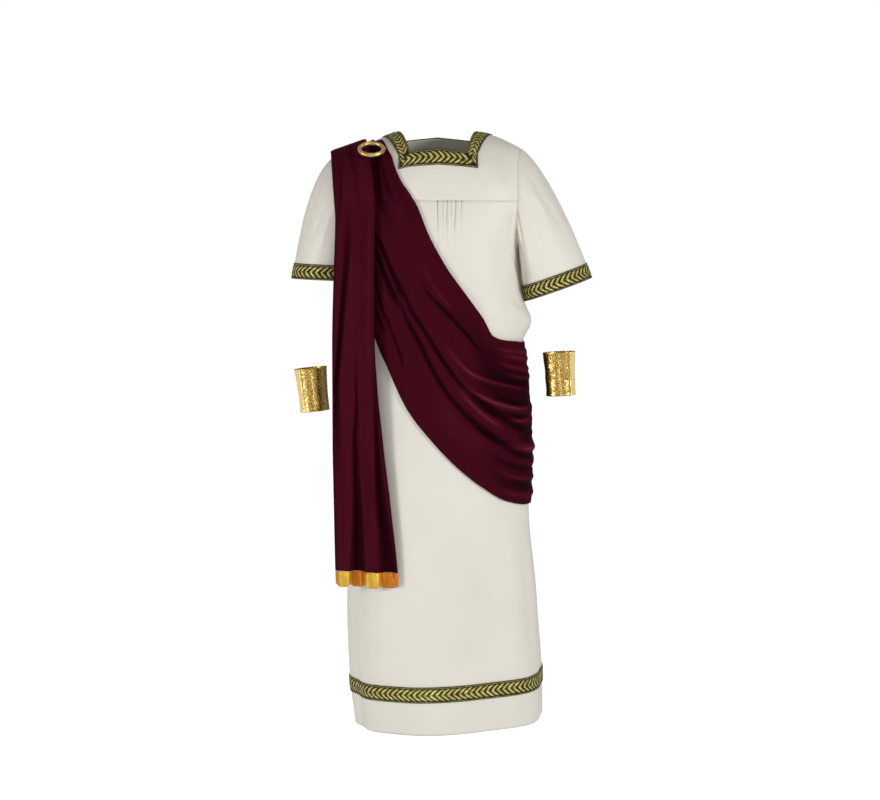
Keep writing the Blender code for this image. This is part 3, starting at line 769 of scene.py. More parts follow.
# Leaf braid: black-brown woven ribbon 36 mm wide, with pairs of gold-olive leaves in floating metallic
# thread and a row of thread loops down each edge. It is sewn flat round the neck, sleeve ends and skirt.
BRAID = 0.0012
BRAID_LIFT = 0.0006
NECK_SHARE = 0.323
COLLAR_SHARE = 0.456
HEM_BRAID_TOP = -1.094
LEAF_PITCH = 0.0130
LEAF_LENGTH = 0.0236
LEAF_WIDTH = 0.0070
LEAF_ROOT = 0.0030
LEAF_ANGLE = radians(50)
LEAF_RISE = 0.0009
LEAF_LEAST = 0.003
# A leaf is steeper at its root than at its tip, by this share of its angle
LEAF_BEND = 0.22
LEAF_LIFT = 0.0003
SUNK = 0.0001
LOOP_PITCH = 0.0028
LOOP_EDGES = (0.06, 0.94)
LOOP_HALF_WIDTH = 0.042
LOOP_LENGTH = 0.86
LOOP_RISE = 0.0006
# Loops take the duller tone of the leaves' edges, not the painted highlight down the leaves' middles
LOOP_DULL = 0.0019
SELVEDGE = 0.0008
SELVEDGE_RISE = 0.0004


def cut_place(owner):
    return node(owner, "ShaderNodeUVMap", uv_map="cut").outputs["UV"]


def total(owner, first, second):
    return node(owner, "ShaderNodeMath", {0: first, 1: second}, operation="ADD").outputs[0]


def ribbed(owner, where, scale, distortion, direction="X"):
    made = node(owner, "ShaderNodeTexWave", {"Vector": where, "Scale": scale, "Distortion": distortion},
                wave_type="BANDS", bands_direction=direction)
    return made.outputs["Fac"]


ribbon = material("braid_ground", 0.75, Specular_IOR_Level=0.15)
where = cut_place(ribbon)
shades(ribbon, speckle(ribbon, where, 900, 2), (0.35, (0.012, 0.009, 0.004)),
       (0.7, (0.055, 0.043, 0.014)))
link(ribbon, bump(ribbon, ribbed(ribbon, where, 260.0, 0.6), 0.0003), "Normal")

leaf_thread = material("leaf_thread", 0.4, 0.35)
where = cut_place(leaf_thread)
aside = node(leaf_thread, "ShaderNodeSeparateXYZ", {"Vector": where}).outputs["Y"]
aside = node(leaf_thread, "ShaderNodeMath", {0: aside}, operation="ABSOLUTE").outputs[0]
# Painted highlight: the thread is paler down each leaf's middle and darker towards its edges
core = ranged(leaf_thread, aside, 0.28, -0.18, 0.0, 0.0028)
tone = total(leaf_thread, speckle(leaf_thread, object_place(leaf_thread), 160, 2), core)
shades(leaf_thread, tone, (0.22, (0.070, 0.054, 0.010)), (0.48, (0.32, 0.265, 0.055)),
       (0.76, (0.80, 0.73, 0.25)))
link(leaf_thread, bump(leaf_thread, ribbed(leaf_thread, where, 420.0, 1.2), 0.0002), "Normal")


def arc_places(strip, count):
    """Places along a ribbon's middle that lie the same distance apart."""
    fine = 400
    points = [strip(i / fine, 0.5, 0) for i in range(fine + 1)]
    reached = [0.0]
    for before, after in zip(points, points[1:]):
        reached.append(reached[-1] + (after - before).length)
    places = []
    for index in range(count):
        target = reached[-1] * index / count
        i = min(bisect_right(reached, target), fine) - 1
        step = (target - reached[i]) / max(reached[i + 1] - reached[i], 1e-9)
        places.append((i + step) / fine)
    return places, reached[-1]


def ornament(name, strip, apex, ends=None):
    """Leaves and edge loops on a ribbon: strip(along, up, lift) is a point over it, and apex is 1 or -1."""
    mesh = bmesh.new()
    layer = mesh.loops.layers.uv.new("cut")
    length = arc_places(strip, 1)[1]
    places = arc_places(strip, round(length / LEAF_PITCH))[0]

    def add_patch(columns, rows, dull, spot):
        made = bmesh.ops.create_grid(mesh, x_segments=columns, y_segments=rows, size=0.5)
        for vert in made["verts"]:
            u = vert.co.x + 0.5
            v = vert.co.y * 2
            for loop in vert.link_loops:
                loop[layer].uv = (u * LEAF_LENGTH, v * LEAF_WIDTH / 2 + dull)
            vert.co = spot(u, v)

    for start in places:
        for half in (1, -1):
            if ends:
                low, high = ends(0.5 + half * 0.25)
                room = (start - low) * length if apex > 0 else (high - start) * length
                if room < LEAF_LEAST or not low < start < high:
                    continue

            def leaf(u, v):
                reach = LEAF_LENGTH * u - LEAF_ROOT
                broad = LEAF_WIDTH / 2 * (1 - u ** 4)
                bend = LEAF_ANGLE * (1 + LEAF_BEND - 2 * LEAF_BEND * u)
                forth = cos(bend) * reach + sin(bend) * v * broad
                aside = max(0.0, sin(bend) * reach - cos(bend) * v * broad)
                along = start - apex * forth / length
                up = 0.5 + half * aside / BRAID_WIDTH
                if ends:
                    first, last = ends(up)
                    along = min(last, max(first, along))
                lift = LEAF_RISE * (1 - v * v) * sin(pi * min(1, u + 0.04)) ** 0.5
                lift += LEAF_LIFT * (1 - u) - SUNK
                return strip(along, up, lift)

            add_patch(7, 4, 0, leaf)
    loops = round(length / LOOP_PITCH)
    for index in range(loops):
        for edge in LOOP_EDGES:
            middle = (index + 0.5) / loops
            if ends:
                low, high = ends(edge)
                if not low < middle - 0.4 / loops < middle + 0.4 / loops < high:
                    continue

            def loop_spot(u, v):
                along = middle + (u - 0.5) * LOOP_LENGTH / loops
                round_it = max(0.0, 1 - v * v) * (1 - (2 * u - 1) ** 2)
                return strip(along, edge + v * LOOP_HALF_WIDTH, LOOP_RISE * round_it - SUNK)

            add_patch(2, 2, LOOP_DULL, loop_spot)
    bmesh.ops.remove_doubles(mesh, verts=mesh.verts, dist=1e-7)
    return add_piece(name, mesh, leaf_thread)


def lay_braid(name, replaced, strip, columns, cut_length, apex, keep_order=True, mitre=None):
    """A ribbon with its ornament, which replaces a node."""
    def place(across, up):
        along = across
        if mitre:
            low, high = mitre(up)
            along = mix(low, high, across)
        return strip(along, up, 0)

    def raised(across, up):
        edge = min(up, 1 - up) * BRAID_WIDTH
        return SELVEDGE_RISE * bell(edge - SELVEDGE, SELVEDGE)

    piece = cloth(name, columns, 14, place, (cut_length, BRAID_WIDTH), BRAID, ribbon, raised,
                  flip=not keep_order)
    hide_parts(replaced)
    leaves = ornament(f"{name}_leaves", strip, apex, mitre)


def hem_strip(face):
    def strip(along, up, lift):
        height = HEM_BRAID_TOP - BRAID_WIDTH * (1 - up)
        turn = mix(-1, 1, along) * face * (1 - EDGE_INSET) * edge_turn(face, height)
        lift += creased(FRONT_CREASES if face == FRONT else BACK_CREASES, turn * TURN_MM, height / MM)
        return on_tunic(face, turn, height, BRAID_LIFT + BRAID + lift)
    return strip


for face, word in ((FRONT, "front"), (BACK, "back")):
    lay_braid(f"skirt_braid_{word}", f"hem_braid_{word}", hem_strip(face), 300, 0.60, -1)


def sleeve_strip(sleeve):
    axis = Vector(sleeve.end_axis).normalized()
    centre = vector(sleeve.end_centre)

    def strip(along, up, lift):
        curve, start, _ = sleeve_curve(sleeve, round(along * ROUND_PLACES, 6) % ROUND_PLACES)
        point = on_curve(curve, mix(1.0, start, up))
        away = point - centre
        away = (away - axis * away.dot(axis)).normalized()
        return point + away * (BRAID_LIFT + BRAID + lift)
    return strip


for sleeve in SLEEVES:
    lay_braid(f"cuff_braid_{sleeve.word}", f"sleeve_braid_{sleeve.word}", sleeve_strip(sleeve), 210, 0.46,
              sleeve.side, keep_order=sleeve.side == RIGHT)

NECK_LIFT = BRAID_LIFT + BRAID
NECK_TOP = 210


def neck_across(face, low, high):
    """The ribbon below the neck's front or back edge, from mitre to mitre."""
    def strip(along, up, lift):
        share = mix(-COLLAR_SHARE, COLLAR_SHARE, along) * face
        return on_tunic(face, share * top_turn(face), mix(low, high, up) * MM, NECK_LIFT + lift)
    return strip


def mitre_across(up):
    cut = (COLLAR_SHARE - mix(COLLAR_SHARE - 0.002, NECK_SHARE, up)) / (2 * COLLAR_SHARE)
    return cut, 1 - cut


def neck_side(side):
    """The ribbon that runs from the front corner of the neck over the shoulder to the back corner."""
    def strip(along, up, lift):
        run = mix(SIDE_LOW, SIDE_HIGH, along)
        face = FRONT if run <= NECK_TOP else BACK
        height = run if face == FRONT else 2 * NECK_TOP - run
        share = side * mix(COLLAR_SHARE, NECK_SHARE, up)
        return on_tunic(face, share * top_turn(face), height * MM, NECK_LIFT + lift)
    return strip


SIDE_LOW = 66
SIDE_HIGH = 313
MITRE_GAP = 1.2
MITRE_FRONT = 35
MITRE_BACK = 36


def mitre_side(up):
    whole = SIDE_HIGH - SIDE_LOW
    return (MITRE_GAP + MITRE_FRONT * up) / whole, 1 - (MITRE_GAP + MITRE_BACK * up) / whole


for face, word, low, high in ((FRONT, "front", 66, 101), (BACK, "back", 107, 143)):
    lay_braid(f"neckline_braid_{word}", f"neck_braid_{word}", neck_across(face, low, high), 110, 0.25, 1,
              mitre=mitre_across)
for side, word in ((LEFT, "left"), (RIGHT, "right")):
    lay_braid(f"neckline_braid_{word}", f"neck_braid_{word}", neck_side(side), 110, 0.29, side,
              keep_order=side == LEFT, mitre=mitre_side)

# Drape: one wound length of dark burgundy velvet. The sash runs from the right shoulder across the chest,
# round the left hip, and up the back to the same shoulder, where the brooch pins it to the fall.
VELVET = 0.0014
SASH_CLEAR = 0.0031
FRONT_STEPS = 14
SASH_STEPS = 26
STEP_MM = 40
SASH_MM = 300


def painted_shading_and_strip_of(owner):
    return node(owner, "ShaderNodeAttribute", attribute_name="painted_shading_and_strip").outputs["Fac"]


velvet = material("burgundy_velvet", 0.75, Sheen_Weight=0.06, Sheen_Roughness=0.3,
                  Sheen_Tint=(0.80, 0.12, 0.20, 1), Specular_IOR_Level=0.02)
where = object_place(velvet)
mottle = ranged(velvet, speckle(velvet, where, 26, 3, (1, 1, 0.35)), -0.10, 0.10)
# Painted shading: the velvet is darker in the folds' troughs and paler on their ridges, plus a random
# mottle
painted_fold_shading = total(velvet, ranged(velvet, painted_shading_and_strip_of(velvet), 0.0, 1.0, -4.0, 4.0), mottle)
shades(velvet, painted_fold_shading, (0.0, (0.011, 0.0006, 0.0028)), (0.30, (0.025, 0.0010, 0.0050)),
       (0.50, (0.047, 0.0024, 0.0078)), (0.75, (0.078, 0.0062, 0.0145)),
       (1.0, (0.135, 0.017, 0.032)))
nap = bump(velvet, speckle(velvet, where, 1100, 2), 0.00025)
link(velvet, bump(velvet, speckle(velvet, where, 90, 3, (1, 1, 0.4)), 0.0005, nap), "Normal")

SASH = "step upper_turn upper_height lower_turn lower_height"
SASH_FRONT = table(
    SASH,
    (0, -27.5, 169, -48, 196),
    (1, -28, 122, -50, 132),
    (2, -26, 78, -51, 59),
    (3, -22, 39, -52, -20),
    (4, -14, -4, -51, -105),
    (5, -6, -80, -49, -195),
    (6, 6, -151, -44.5, -307),
    (7, 17.4, -207, -34, -380),
    (8, 27, -256, -20, -472),
    (9, 36, -304, -5, -540),
    (10, 46, -314, 10, -597),
    (11, 57, -317, 26, -644),
    (12, 68, -320, 44, -679),
    (13, 79, -323, 66, -693),
    (14, 90, -325, 90, -696),
)
SASH_BACK = table(
    SASH,
    (0, 90, -325, 90, -696),
    (1, 77, -320, 75, -689),
    (2, 62, -303, 58, -671),
    (3, 46, -267, 40, -635),
    (4, 30, -217, 22, -575),
    (5, 14, -155, 5, -495),
    (6, -1, -85, -12, -400),
    (7, -14, -15, -28, -295),
    (8, -25, 49, -40, -185),
    (9, -31, 103, -47, -70),
    (10, -32, 147, -49, 34),
    (11, -32.5, 181, -50, 127),
    (12, -33, 207, -50, 205),
)
# Ridges and troughs of the sash: across it from 0 to 300, and along it 40 to each step
SASH_CREASES = table(
    CREASE,
    (255, 142, 142, 246, -3, 5, -6),
    (151, 214, 143, 392, 4, 5, -4.5),
    (284, 154, 166, 246, -3, 5, -5.5),
    (168, 222, 194, 390, 5, 5, -4.5),
    (288, 168, 222, 248, 3, 4, -4),
    (224, 230, 260, 296, -3, 4, -2.6),
    (292, 196, 240, 252, 3, 4, -2.8),
    (97, 224, 45, 370, -3, 3.4, -4),
    (68, 214, 50, 296, 2, 5, 1.2),
    (226, 20, 246, 176, 3, 7, -5),
    (196, 10, 206, 150, 3, 8, -2.4),
    (116, -20, 138, 176, 0, 22, -2.4),
    (104, 0, 64, 160, 0, 12, -2.2),
    (30, 20, 34, 200, 0, 16, -1),
    (84, 320, 92, 660, 0, 44, -2.8),
    (60, 260, 30, 420, 0, 26, -0.9),
    (260, 420, 262, 660, 0, 28, -1.9),
    (140, 0, 150, 150, 0, 40, -0.7),
    (236, 330, 226, 440, 0, 24, 0.6),
    (130, 296, 86, 524, -10, 5, 4),
    (146, 324, 104, 552, 9, 5, 4.5),
    (170, 408, 120, 560, 3, 4.5, 3.6),
    (158, 346, 178, 452, 4, 4.5, 3),
    (214, 424, 192, 590, -4, 6, 4),
    (22, 364, 14, 570, 3, 4, 2.4),
    (34, 388, 26, 586, 3, 4, 2.8),
    (54, 376, 44, 590, 4, 4.5, 3),
    (72, 400, 58, 600, 3, 4.5, 2.8),
    (86, 386, 74, 520, 3, 5.5, -4),
    (124, 396, 106, 580, 3, 5.5, -4.5),
    (146, 428, 126, 590, 3, 4.5, -4),
    (144, 346, 162, 600, 8, 7, -6.5),
    (190, 344, 208, 600, 8, 7, -6),
    (176, 466, 178, 640, 2, 7, -5),
    (238, 420, 232, 650, -3, 4, -2.8),
    (254, 436, 246, 610, 2, 5, 2.6),
    (264, 470, 260, 650, 2, 6, -3.2),
    (284, 446, 276, 610, 2, 5, 2.2),
    (18, 530, 32, 770, -4, 6, 3.5),
    (42, 520, 58, 740, -5, 6, -3.2),
    (64, 540, 84, 790, -5, 7, 4),
    (94, 520, 110, 730, -6, 7, -4.2),
    (126, 530, 140, 800, -7, 8, 5.5),
    (152, 520, 158, 780, -4, 7, -4.5),
    (186, 540, 178, 760, -8, 9, 5),
    (224, 530, 220, 820, -6, 9, 5),
    (246, 540, 244, 800, -4, 6, -3.6),
    (268, 530, 264, 780, -5, 8, 4.2),
    (40, 730, 52, 1010, -5, 9, 3.2),
    (78, 700, 92, 1030, -6, 8, -3.4),
    (120, 720, 128, 1020, 5, 10, 3.6),
    (162, 740, 166, 1034, -5, 8, -3.6),
    (206, 730, 204, 1010, 6, 10, 3.4),
    (244, 760, 240, 1030, -4, 8, -3.2),
    (274, 740, 272, 1000, 3, 8, 2.6),
)
SASH_PLATEAU = table(
    "step out",
    (0, 1), (2, 2.5), (4, 4.6), (9, 5.6), (14, 5), (18, 4.4), (22, 3.6), (26, 0.8),
)
SASH_LEAST = 0.0012
# The sash flattens towards its edges, which are turned under in a small roll
SASH_EDGE = 0.07
EDGE_CREASES = 0.45
ROLL = 0.0007
ROLL_PLACE = 0.016
ROLL_WIDTH = 0.010


def settle(out, least):
    """Keeps a fold from sinking below what it lies on."""
    return (out + sqrt(out * out + least * least)) / 2


def sash_place(across, up):
    step = mix(0, SASH_STEPS, up)
    face = FRONT if step <= FRONT_STEPS else BACK
    rows = SASH_FRONT if face == FRONT else SASH_BACK
    row = step if face == FRONT else step - FRONT_STEPS
    turn = mix(read(rows, "upper_turn", row), read(rows, "lower_turn", row), across)
    height = MM * mix(read(rows, "upper_height", row), read(rows, "lower_height", row), across)
    edge = ease(across / SASH_EDGE) * ease((1 - across) / SASH_EDGE)
    out = read(SASH_PLATEAU, "out", step) * MM * edge
    out += creased(SASH_CREASES, across * SASH_MM, step * STEP_MM) * mix(EDGE_CREASES, 1, edge)
    upper_roll = bell(across - ROLL_PLACE, ROLL_WIDTH)
    lower_roll = bell(1 - ROLL_PLACE - across, ROLL_WIDTH)
    roll = ROLL * (upper_roll + lower_roll)
    return on_tunic(face, turn, height, SASH_CLEAR + VELVET + settle(out, SASH_LEAST) + roll)


# Painted shade in the sash's troughs and painted highlight on its ridges, from the same creases as its
# shape
def sash_painted_shading(across, up):
    return creased(SASH_CREASES, across * SASH_MM, mix(0, SASH_STEPS, up) * STEP_MM)


sash = cloth("drape_sash", 140, 330, sash_place, (0.36, 1.75), VELVET, velvet,
             painted_shading_and_strip_at=sash_painted_shading)
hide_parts("drape_sash_front", "drape_sash_back")

# Fall: the pleated end of the velvet, which hangs from the right shoulder down the front and ends in a band
# of gold satin, seamed on and pressed into the same pleats.
SATIN = 0.0010
FALL = table(
    "height outer_x outer_y inner_x inner_y pleat",
    (-872, -237, -116, -94, -156, 17),
    (-835, -238, -116, -96, -154, 17),
    (-676, -241, -114, -112, -146, 15),
    (-543, -243, -113, -128, -140, 14),
    (-330, -243, -112, -146, -132, 12),
    (-225, -241, -111, -147, -129, 10),
    (-112, -237, -109, -146, -124, 8),
    (-45, -235, -106, -145, -121, 7),
    (0, -238, -101, -144, -117, 6),
)
FALL_TOP_OUTER = (-252, 8, -48.5)
FALL_TOP_INNER = (-172, 8, -20.5)
FALL_BACK_OUTER = (-240, 104, -150)
FALL_BACK_INNER = (-166, 121, -150)
FALL_TOP_PLEAT = 4
FALL_ARCH = 0.210
FALL_TAIL = 0.294
FALL_END = -0.872
FALL_SATIN = -0.836
VELVET_GAP = 0.0003
SATIN_GAP = 0.0002
# Troughs between the fall's pleats: each wanders across it, from 0 at its outer edge to 1 at its inner one
CHANNEL = "height place depth width"
CHANNELS = [
    table(CHANNEL, (-640, 0.04, 0, 0.06), (-520, 0.1, 0.5, 0.06), (-436, 0.1, 0.75, 0.055),
          (-311, 0.19, 0.85, 0.06), (-209, 0.26, 0.8, 0.065), (-135, 0.31, 0.65, 0.07),
          (-60, 0.34, 0.4, 0.08), (10, 0.31, 0, 0.09)),
    table(CHANNEL, (-872, 0.352, 1, 0.11), (-790, 0.385, 1, 0.095), (-691, 0.42, 0.85, 0.075),
          (-529, 0.46, 0.55, 0.05), (-460, 0.53, 0.4, 0.04), (-362, 0.56, 0.22, 0.035),
          (-300, 0.57, 0, 0.03)),
    table(CHANNEL, (-872, 0.86, 1, 0.13), (-800, 0.86, 1, 0.11), (-676, 0.84, 0.9, 0.08),
          (-529, 0.89, 0.6, 0.05), (-425, 0.94, 0.35, 0.04), (-340, 0.96, 0, 0.04)),
]
FALL_LEAST = 0.04
# Share of a pleat's depth by which the fall's edges turn back
FALL_OUTER_TURN = 0.45
FALL_OUTER_WIDTH = 0.05
FALL_INNER_TURN = 0.35
FALL_INNER_WIDTH = 0.04
# Share at which the painted shading has its middle colour, and its strength for a whole pleat:
# painted shade in the recesses, painted highlight on the fronts
FALL_LEVEL = 0.86
FALL_SHADE = 0.0030
FALL_MM = 160
FALL_CREASES = table(
    CREASE,
    (13, -540, 12, -980, 1, 2, 1.5),
    (24, -480, 22, -900, -1, 3, -1.2),
    (50, -470, 30, -990, 1, 2.2, 1.8),
    (79, -500, 84, -960, -1, 2.2, 1.6),
    (98, -500, 94, -940, 1, 3.6, -1.2),
    (122, -470, 108, -990, 1, 2.2, 1.8),
    (152, -620, 154, -900, 1, 3, 1.6),
    (86, -300, 92, -520, -2, 3, 1.6),
    (66, 40, 74, -330, 3, 7, 1),
    (112, 60, 110, -420, -3, 9, -1.1),
    (138, 40, 140, -460, 2, 6, 1.2),
    (60, 150, 16, -70, 6, 7, -2.4),
    (86, 190, 92, -40, -5, 10, -1.6),
    (96, 200, 84, 40, 4, 6, -1.4),
    (72, 205, 44, 20, 3, 6, 1.2),
    (122, 204, 126, 50, -3, 6, 1.3),
    (30, 200, 22, 40, -3, 5, -1.3),
)


def fall_point(across, height, forward):
    """Point of the fall: below the yoke seam it hangs, above it arches over to the back."""
    at = min(height / MM, 0)
    outer = vector((read(FALL, "outer_x", at), read(FALL, "outer_y", at), YOKE_SEAM / MM + at))
    inner = vector((read(FALL, "inner_x", at), read(FALL, "inner_y", at), YOKE_SEAM / MM + at))
    hang = mix(outer, inner, across)
    pleat = MM * read(FALL, "pleat", at)
    if height <= 0:
        return hang + Vector((0, -pleat * forward, 0))
    top = mix(vector(FALL_TOP_OUTER), vector(FALL_TOP_INNER), across)
    top_pleat = MM * FALL_TOP_PLEAT
    if height <= FALL_ARCH:
        climb = height / FALL_ARCH * pi / 2
        point = Vector((mix(hang.x, top.x, height / FALL_ARCH), mix(top.y, hang.y, cos(climb)),
                        mix(hang.z, top.z, sin(climb))))
        depth = mix(pleat, top_pleat, height / FALL_ARCH) * forward
        return point + Vector((0, -cos(climb), sin(climb))) * depth
    foot = mix(vector(FALL_BACK_OUTER), vector(FALL_BACK_INNER), across)
    climb = (2 - height / FALL_ARCH) * pi / 2
    point = Vector((mix(foot.x, top.x, sin(climb)), mix(top.y, foot.y, cos(climb)),
                    mix(foot.z, top.z, sin(climb))))
    return point + Vector((0, cos(climb), sin(climb))) * top_pleat * forward


def fall_forward(across, height):
    """Share of the pleats' depth that the cloth stands forward, creases and all."""
    at = height / MM
    outer = FALL_OUTER_TURN * bell(across, FALL_OUTER_WIDTH)
    inner = FALL_INNER_TURN * bell(1 - across, FALL_INNER_WIDTH)
    forward = 1 - outer - inner
    for rows in CHANNELS:
        away = (across - read(rows, "place", at)) / read(rows, "width", at)
        forward -= read(rows, "depth", at) * exp(-away * away * away * away)
    forward += creased(FALL_CREASES, across * FALL_MM, at) / MM / read(FALL, "pleat", min(at, 0))
    return settle(forward, FALL_LEAST)


def fall_place(across, up):
    height = mix(FALL_SATIN + VELVET_GAP, FALL_TAIL, up)
    return fall_point(across, height, fall_forward(across, height))


# Painted shade in the recesses between the pleats and painted highlight on their fronts
def fall_painted_shading(across, up):
    return (fall_forward(across, mix(FALL_SATIN, FALL_TAIL, up)) - FALL_LEVEL) * FALL_SHADE


fall = cloth("drape_fall_velvet", 150, 200, fall_place, (0.30, 1.16), VELVET, velvet,
             painted_shading_and_strip_at=fall_painted_shading)
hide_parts("drape_fall")

satin = material("gold_satin", 0.30, 0.45, Specular_IOR_Level=0.4, Anisotropic=0.4)
where = cut_place(satin)
mottle = ranged(satin, speckle(satin, where, 60, 3, (1, 0.3, 1)), -0.12, 0.12)
# Painted shading: the satin is darker and redder in the pleats' recesses and paler on their fronts, plus a
# random mottle
painted_pleat_shading = total(satin, ranged(satin, painted_shading_and_strip_of(satin), 0.0, 1.0, -4.0, 4.0), mottle)
shades(satin, painted_pleat_shading, (0.1, (0.52, 0.16, 0.002)), (0.36, (0.66, 0.26, 0.004)),
       (0.56, (0.60, 0.34, 0.016)), (0.8, (0.80, 0.58, 0.13)))
fine = bump(satin, ribbed(satin, where, 700.0, 0.4, "Y"), 0.00006)
link(satin, bump(satin, speckle(satin, where, 150, 2, (1, 0.3, 1)), 0.0005, fine), "Normal")

# The band's lower edge curls up a little beside each pleat's edge
SATIN_EDGES = [0.0, 0.235, 0.47, 0.72, 0.98]
SATIN_SCALLOP = 0.006
SCALLOP_WIDTH = 0.035
SATIN_SWELL = 0.05


def satin_place(across, up):
    scallop = 0.0
    for edge in SATIN_EDGES:
        scallop += SATIN_SCALLOP * bell(across - edge, SCALLOP_WIDTH)
    height = mix(FALL_END + scallop, FALL_SATIN - SATIN_GAP, up)
    return fall_point(across, height, fall_forward(across, height) + SATIN_SWELL * sin(pi * up))


satin_band = cloth("drape_fall_satin", 150, 16, satin_place, (0.30, 0.036), SATIN, satin,
                   painted_shading_and_strip_at=lambda across, up: 2 * fall_painted_shading(across, 0))
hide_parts("drape_fall_hem")

# Brooch: an open ring cast in gold-coloured metal, hammered and lightly twisted, with a round knob. Its pin
# goes through the velvet behind it and holds the drape on the shoulder.
BROOCH_CENTRE = Vector((-0.1545, -0.0760, -0.0450))
BROOCH_RADIUS = 0.027
BROOCH_TUBE = 0.0045
BROOCH_TILT = radians(32)
KNOB_ANGLE = radians(97)
KNOB_RADIUS = 0.0034
KNOB_HEIGHT = 0.10
TWISTS = 9
# Shares of the tube's radius
SWELL = 1.02
TWIST_DEPTH = 0.05
HAMMER_DEPTH = 0.16
KNOB_HAMMER = 0.14

gold = material("cast_gold", 0.3, 0.8)
where = object_place(gold)
tone = speckle(gold, where, 110, 3)
shades(gold, tone, (0.28, (0.55, 0.34, 0.10)), (0.52, (0.78, 0.53, 0.20)),
       (0.72, (0.94, 0.73, 0.36)))
link(gold, ranged(gold, speckle(gold, where, 300, 3), 0.26, 0.42), "Roughness")
link(gold, bump(gold, speckle(gold, where, 300, 2), 0.0003), "Normal")

mesh = bmesh.new()
start = bmesh.ops.create_circle(mesh, segments=20, radius=BROOCH_TUBE)
place = Matrix.Translation((BROOCH_RADIUS, 0, 0)) @ Matrix.Rotation(pi / 2, 4, "X")
bmesh.ops.transform(mesh, matrix=place, verts=start["verts"])
bmesh.ops.spin(mesh, geom=mesh.edges[:] + mesh.verts[:], axis=(0, 0, 1), cent=(0, 0, 0),
               angle=2 * pi, steps=220, use_merge=True)
bmesh.ops.recalc_face_normals(mesh, faces=mesh.faces)
for vert in mesh.verts:
    around = Vector((vert.co.x, vert.co.y, 0)).normalized()
    core = around * BROOCH_RADIUS
    out = vert.co - core
    turn = around.to_2d().angle_signed(Vector((1, 0)))
    lean = Vector((out.dot(around), out.z)).angle_signed(Vector((1, 0)))
    rope = TWIST_DEPTH * sin(2 * lean + TWISTS * turn)
    hammer = HAMMER_DEPTH * noise.noise(vert.co * 170)
    vert.co = core + out * (SWELL + rope + hammer)
bmesh.ops.rotate(mesh, cent=(0, 0, 0), matrix=Matrix.Rotation(BROOCH_TILT, 3, "X"), verts=mesh.verts)
bmesh.ops.translate(mesh, vec=BROOCH_CENTRE, verts=mesh.verts)
brooch = add_piece("brooch_cast_ring", mesh, gold)
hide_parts("brooch_ring")

mesh = bmesh.new()
bmesh.ops.create_uvsphere(mesh, u_segments=28, v_segments=18, radius=KNOB_RADIUS)
for vert in mesh.verts:
    vert.co *= 1 + KNOB_HAMMER * noise.noise(vert.co * 420)
spot = Vector((cos(KNOB_ANGLE), sin(KNOB_ANGLE), KNOB_HEIGHT)) * BROOCH_RADIUS
spot.rotate(Matrix.Rotation(BROOCH_TILT, 3, "X"))
bmesh.ops.translate(mesh, vec=BROOCH_CENTRE + spot, verts=mesh.verts)
add_piece("brooch_knob", mesh, gold)

# Wrist cuffs: tubes of stretch cloth faced with gold foil, which has crackled into small facets. Each is
# closed by one plain seam, beside which the foil stays smooth.
FOIL = 0.0011
CUFFS = table(
    "word side x y z lean",
    ("left", LEFT, 275, -45, -554, 3), ("right", RIGHT, -292, -45, -590, 6),
)
CUFF_HEIGHT = 0.100
CUFF_TOP = (0.0360, 0.0320)
CUFF_BOTTOM = (0.0325, 0.0290)
CUFF_FLARE = 0.0012
CUFF_ROUND = 0.215
# Places of each seam round its tube, on the outer side in front
SEAM_PLACE = {LEFT: 0.86, RIGHT: 0.64}
SEAM_SMOOTH = 0.07
# Crackle is read on a tube of this size, and fades by this share beside the seam
CRACKLE_TUBE = (0.034, 0.031)
CRACKLE_FADE = 0.85
CRACKLE = 0.00036
FINE_CRACKLE = 0.00016
BUCKLE = 0.0007
RIM = 0.0005
RIM_WIDTH = 0.02
CUFF_SEAM = 0.0012
CUFF_SEAM_WIDTH = 0.008
# How far round towards the body the painted shade on the foil starts, and over what stretch
DARK_FROM = 0.70
DARK_OVER = 0.3

foil = material("gold_foil", 0.3, 0.9, Specular_IOR_Level=0.6, Coat_Weight=0.5, Coat_Roughness=0.2)
where = cut_place(foil)
grid = {"Vector": where, "Scale": 300.0, "Randomness": 1.0}
cracks = node(foil, "ShaderNodeTexVoronoi", grid, feature="DISTANCE_TO_EDGE").outputs["Distance"]
facets = node(foil, "ShaderNodeTexVoronoi", grid).outputs["Color"]
# The attribute makes the smooth strip by the seam paler and less metallic, and paints shade on the side
# towards the body
painted_shading_and_strip = painted_shading_and_strip_of(foil)
cracked = ranged(foil, cracks, 0.30, 0.74, 0.0, 0.30)
tone = node(foil, "ShaderNodeMath", {0: painted_shading_and_strip, 1: 0.32, 2: cracked}, operation="MULTIPLY_ADD").outputs[0]
shades(foil, tone, (0.0, (0.06, 0.024, 0.004)), (0.30, (0.24, 0.13, 0.020)),
       (0.58, (0.76, 0.50, 0.12)), (0.92, (0.98, 0.80, 0.36)))
sunk = bump(foil, cracks, 0.00022)
link(foil, bump(foil, facets, 0.00018, sunk), "Normal")
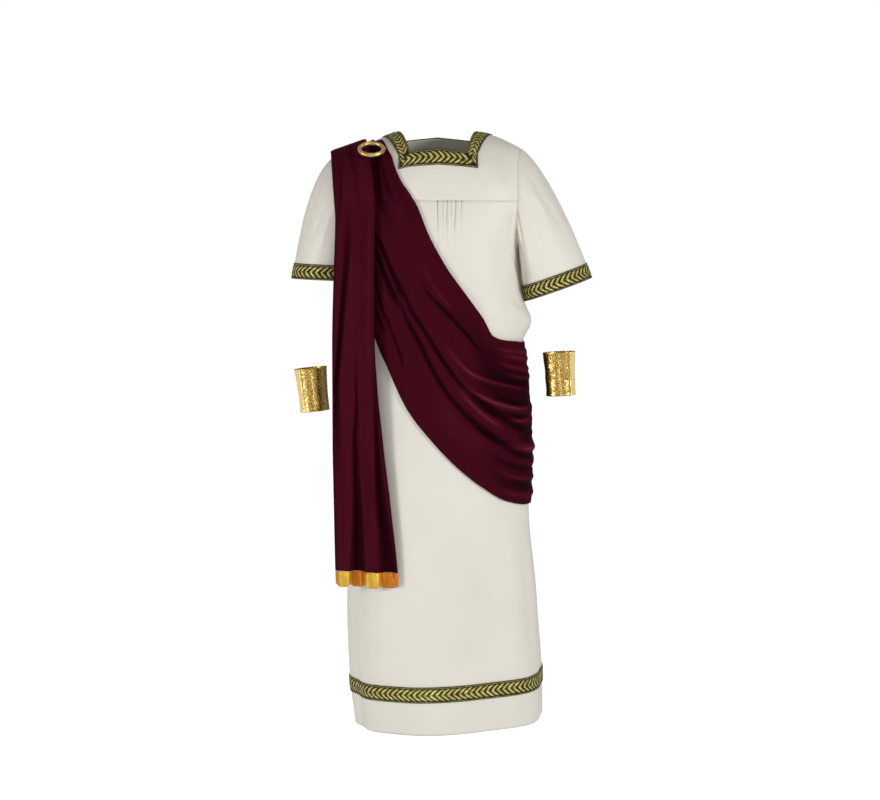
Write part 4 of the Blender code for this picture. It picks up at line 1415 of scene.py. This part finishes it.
link(foil, ranged(foil, speckle(foil, where, 240, 3), 0.18, 0.36), "Roughness")
link(foil, ranged(foil, painted_shading_and_strip, 0.9, 0.1), "Metallic")


def seam_strip(cuff, across):
    """How much of the foil beside a cuff's seam is smooth."""
    middle = SEAM_PLACE[cuff.side] + cuff.side * SEAM_SMOOTH
    return exp(-((across - middle) / SEAM_SMOOTH) ** 4)


for cuff in CUFFS:
    lean = Matrix.Rotation(-radians(cuff.lean), 3, "Y")

    def cuff_place(across, up):
        angle = 2 * pi * across
        flare = CUFF_FLARE * (2 * up - 1) ** 2
        x = (mix(CUFF_BOTTOM[0], CUFF_TOP[0], up) + flare) * cos(angle)
        y = (mix(CUFF_BOTTOM[1], CUFF_TOP[1], up) + flare) * sin(angle)
        point = Vector((x, y, (up - 0.5) * CUFF_HEIGHT))
        return lean @ point + vector((cuff.x, cuff.y, cuff.z))

    def cuff_raised(across, up):
        angle = 2 * pi * across
        height = up * CUFF_HEIGHT + cuff.x * MM
        spot = Vector((cos(angle) * CRACKLE_TUBE[0], sin(angle) * CRACKLE_TUBE[1], height))
        smooth = seam_strip(cuff, across)
        crackle = CRACKLE * noise.noise(spot * 210) + FINE_CRACKLE * noise.noise(spot * 420)
        buckle = BUCKLE * noise.noise(spot * 40)
        lower_rim = bell(up - RIM_WIDTH, RIM_WIDTH)
        upper_rim = bell(up - 1 + RIM_WIDTH, RIM_WIDTH)
        seam = -CUFF_SEAM * bell(across - SEAM_PLACE[cuff.side], CUFF_SEAM_WIDTH)
        return crackle * (1 - CRACKLE_FADE * smooth) + buckle + RIM * (lower_rim + upper_rim) + seam

    # Above 0 on the smooth strip beside the seam, below 0 for the painted shade on the side that faces the
    # body
    def cuff_painted_shading_and_strip(across, up):
        body_side = -cuff.side * cos(2 * pi * across)
        return (seam_strip(cuff, across) - ease((body_side - DARK_FROM) / DARK_OVER)) * MM

    piece = cloth(f"foil_cuff_{cuff.word}", 150, 70, cuff_place, (CUFF_ROUND, CUFF_HEIGHT), FOIL, foil,
                  cuff_raised, painted_shading_and_strip_at=cuff_painted_shading_and_strip)
    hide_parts(f"wrist_cuff_{cuff.word}")
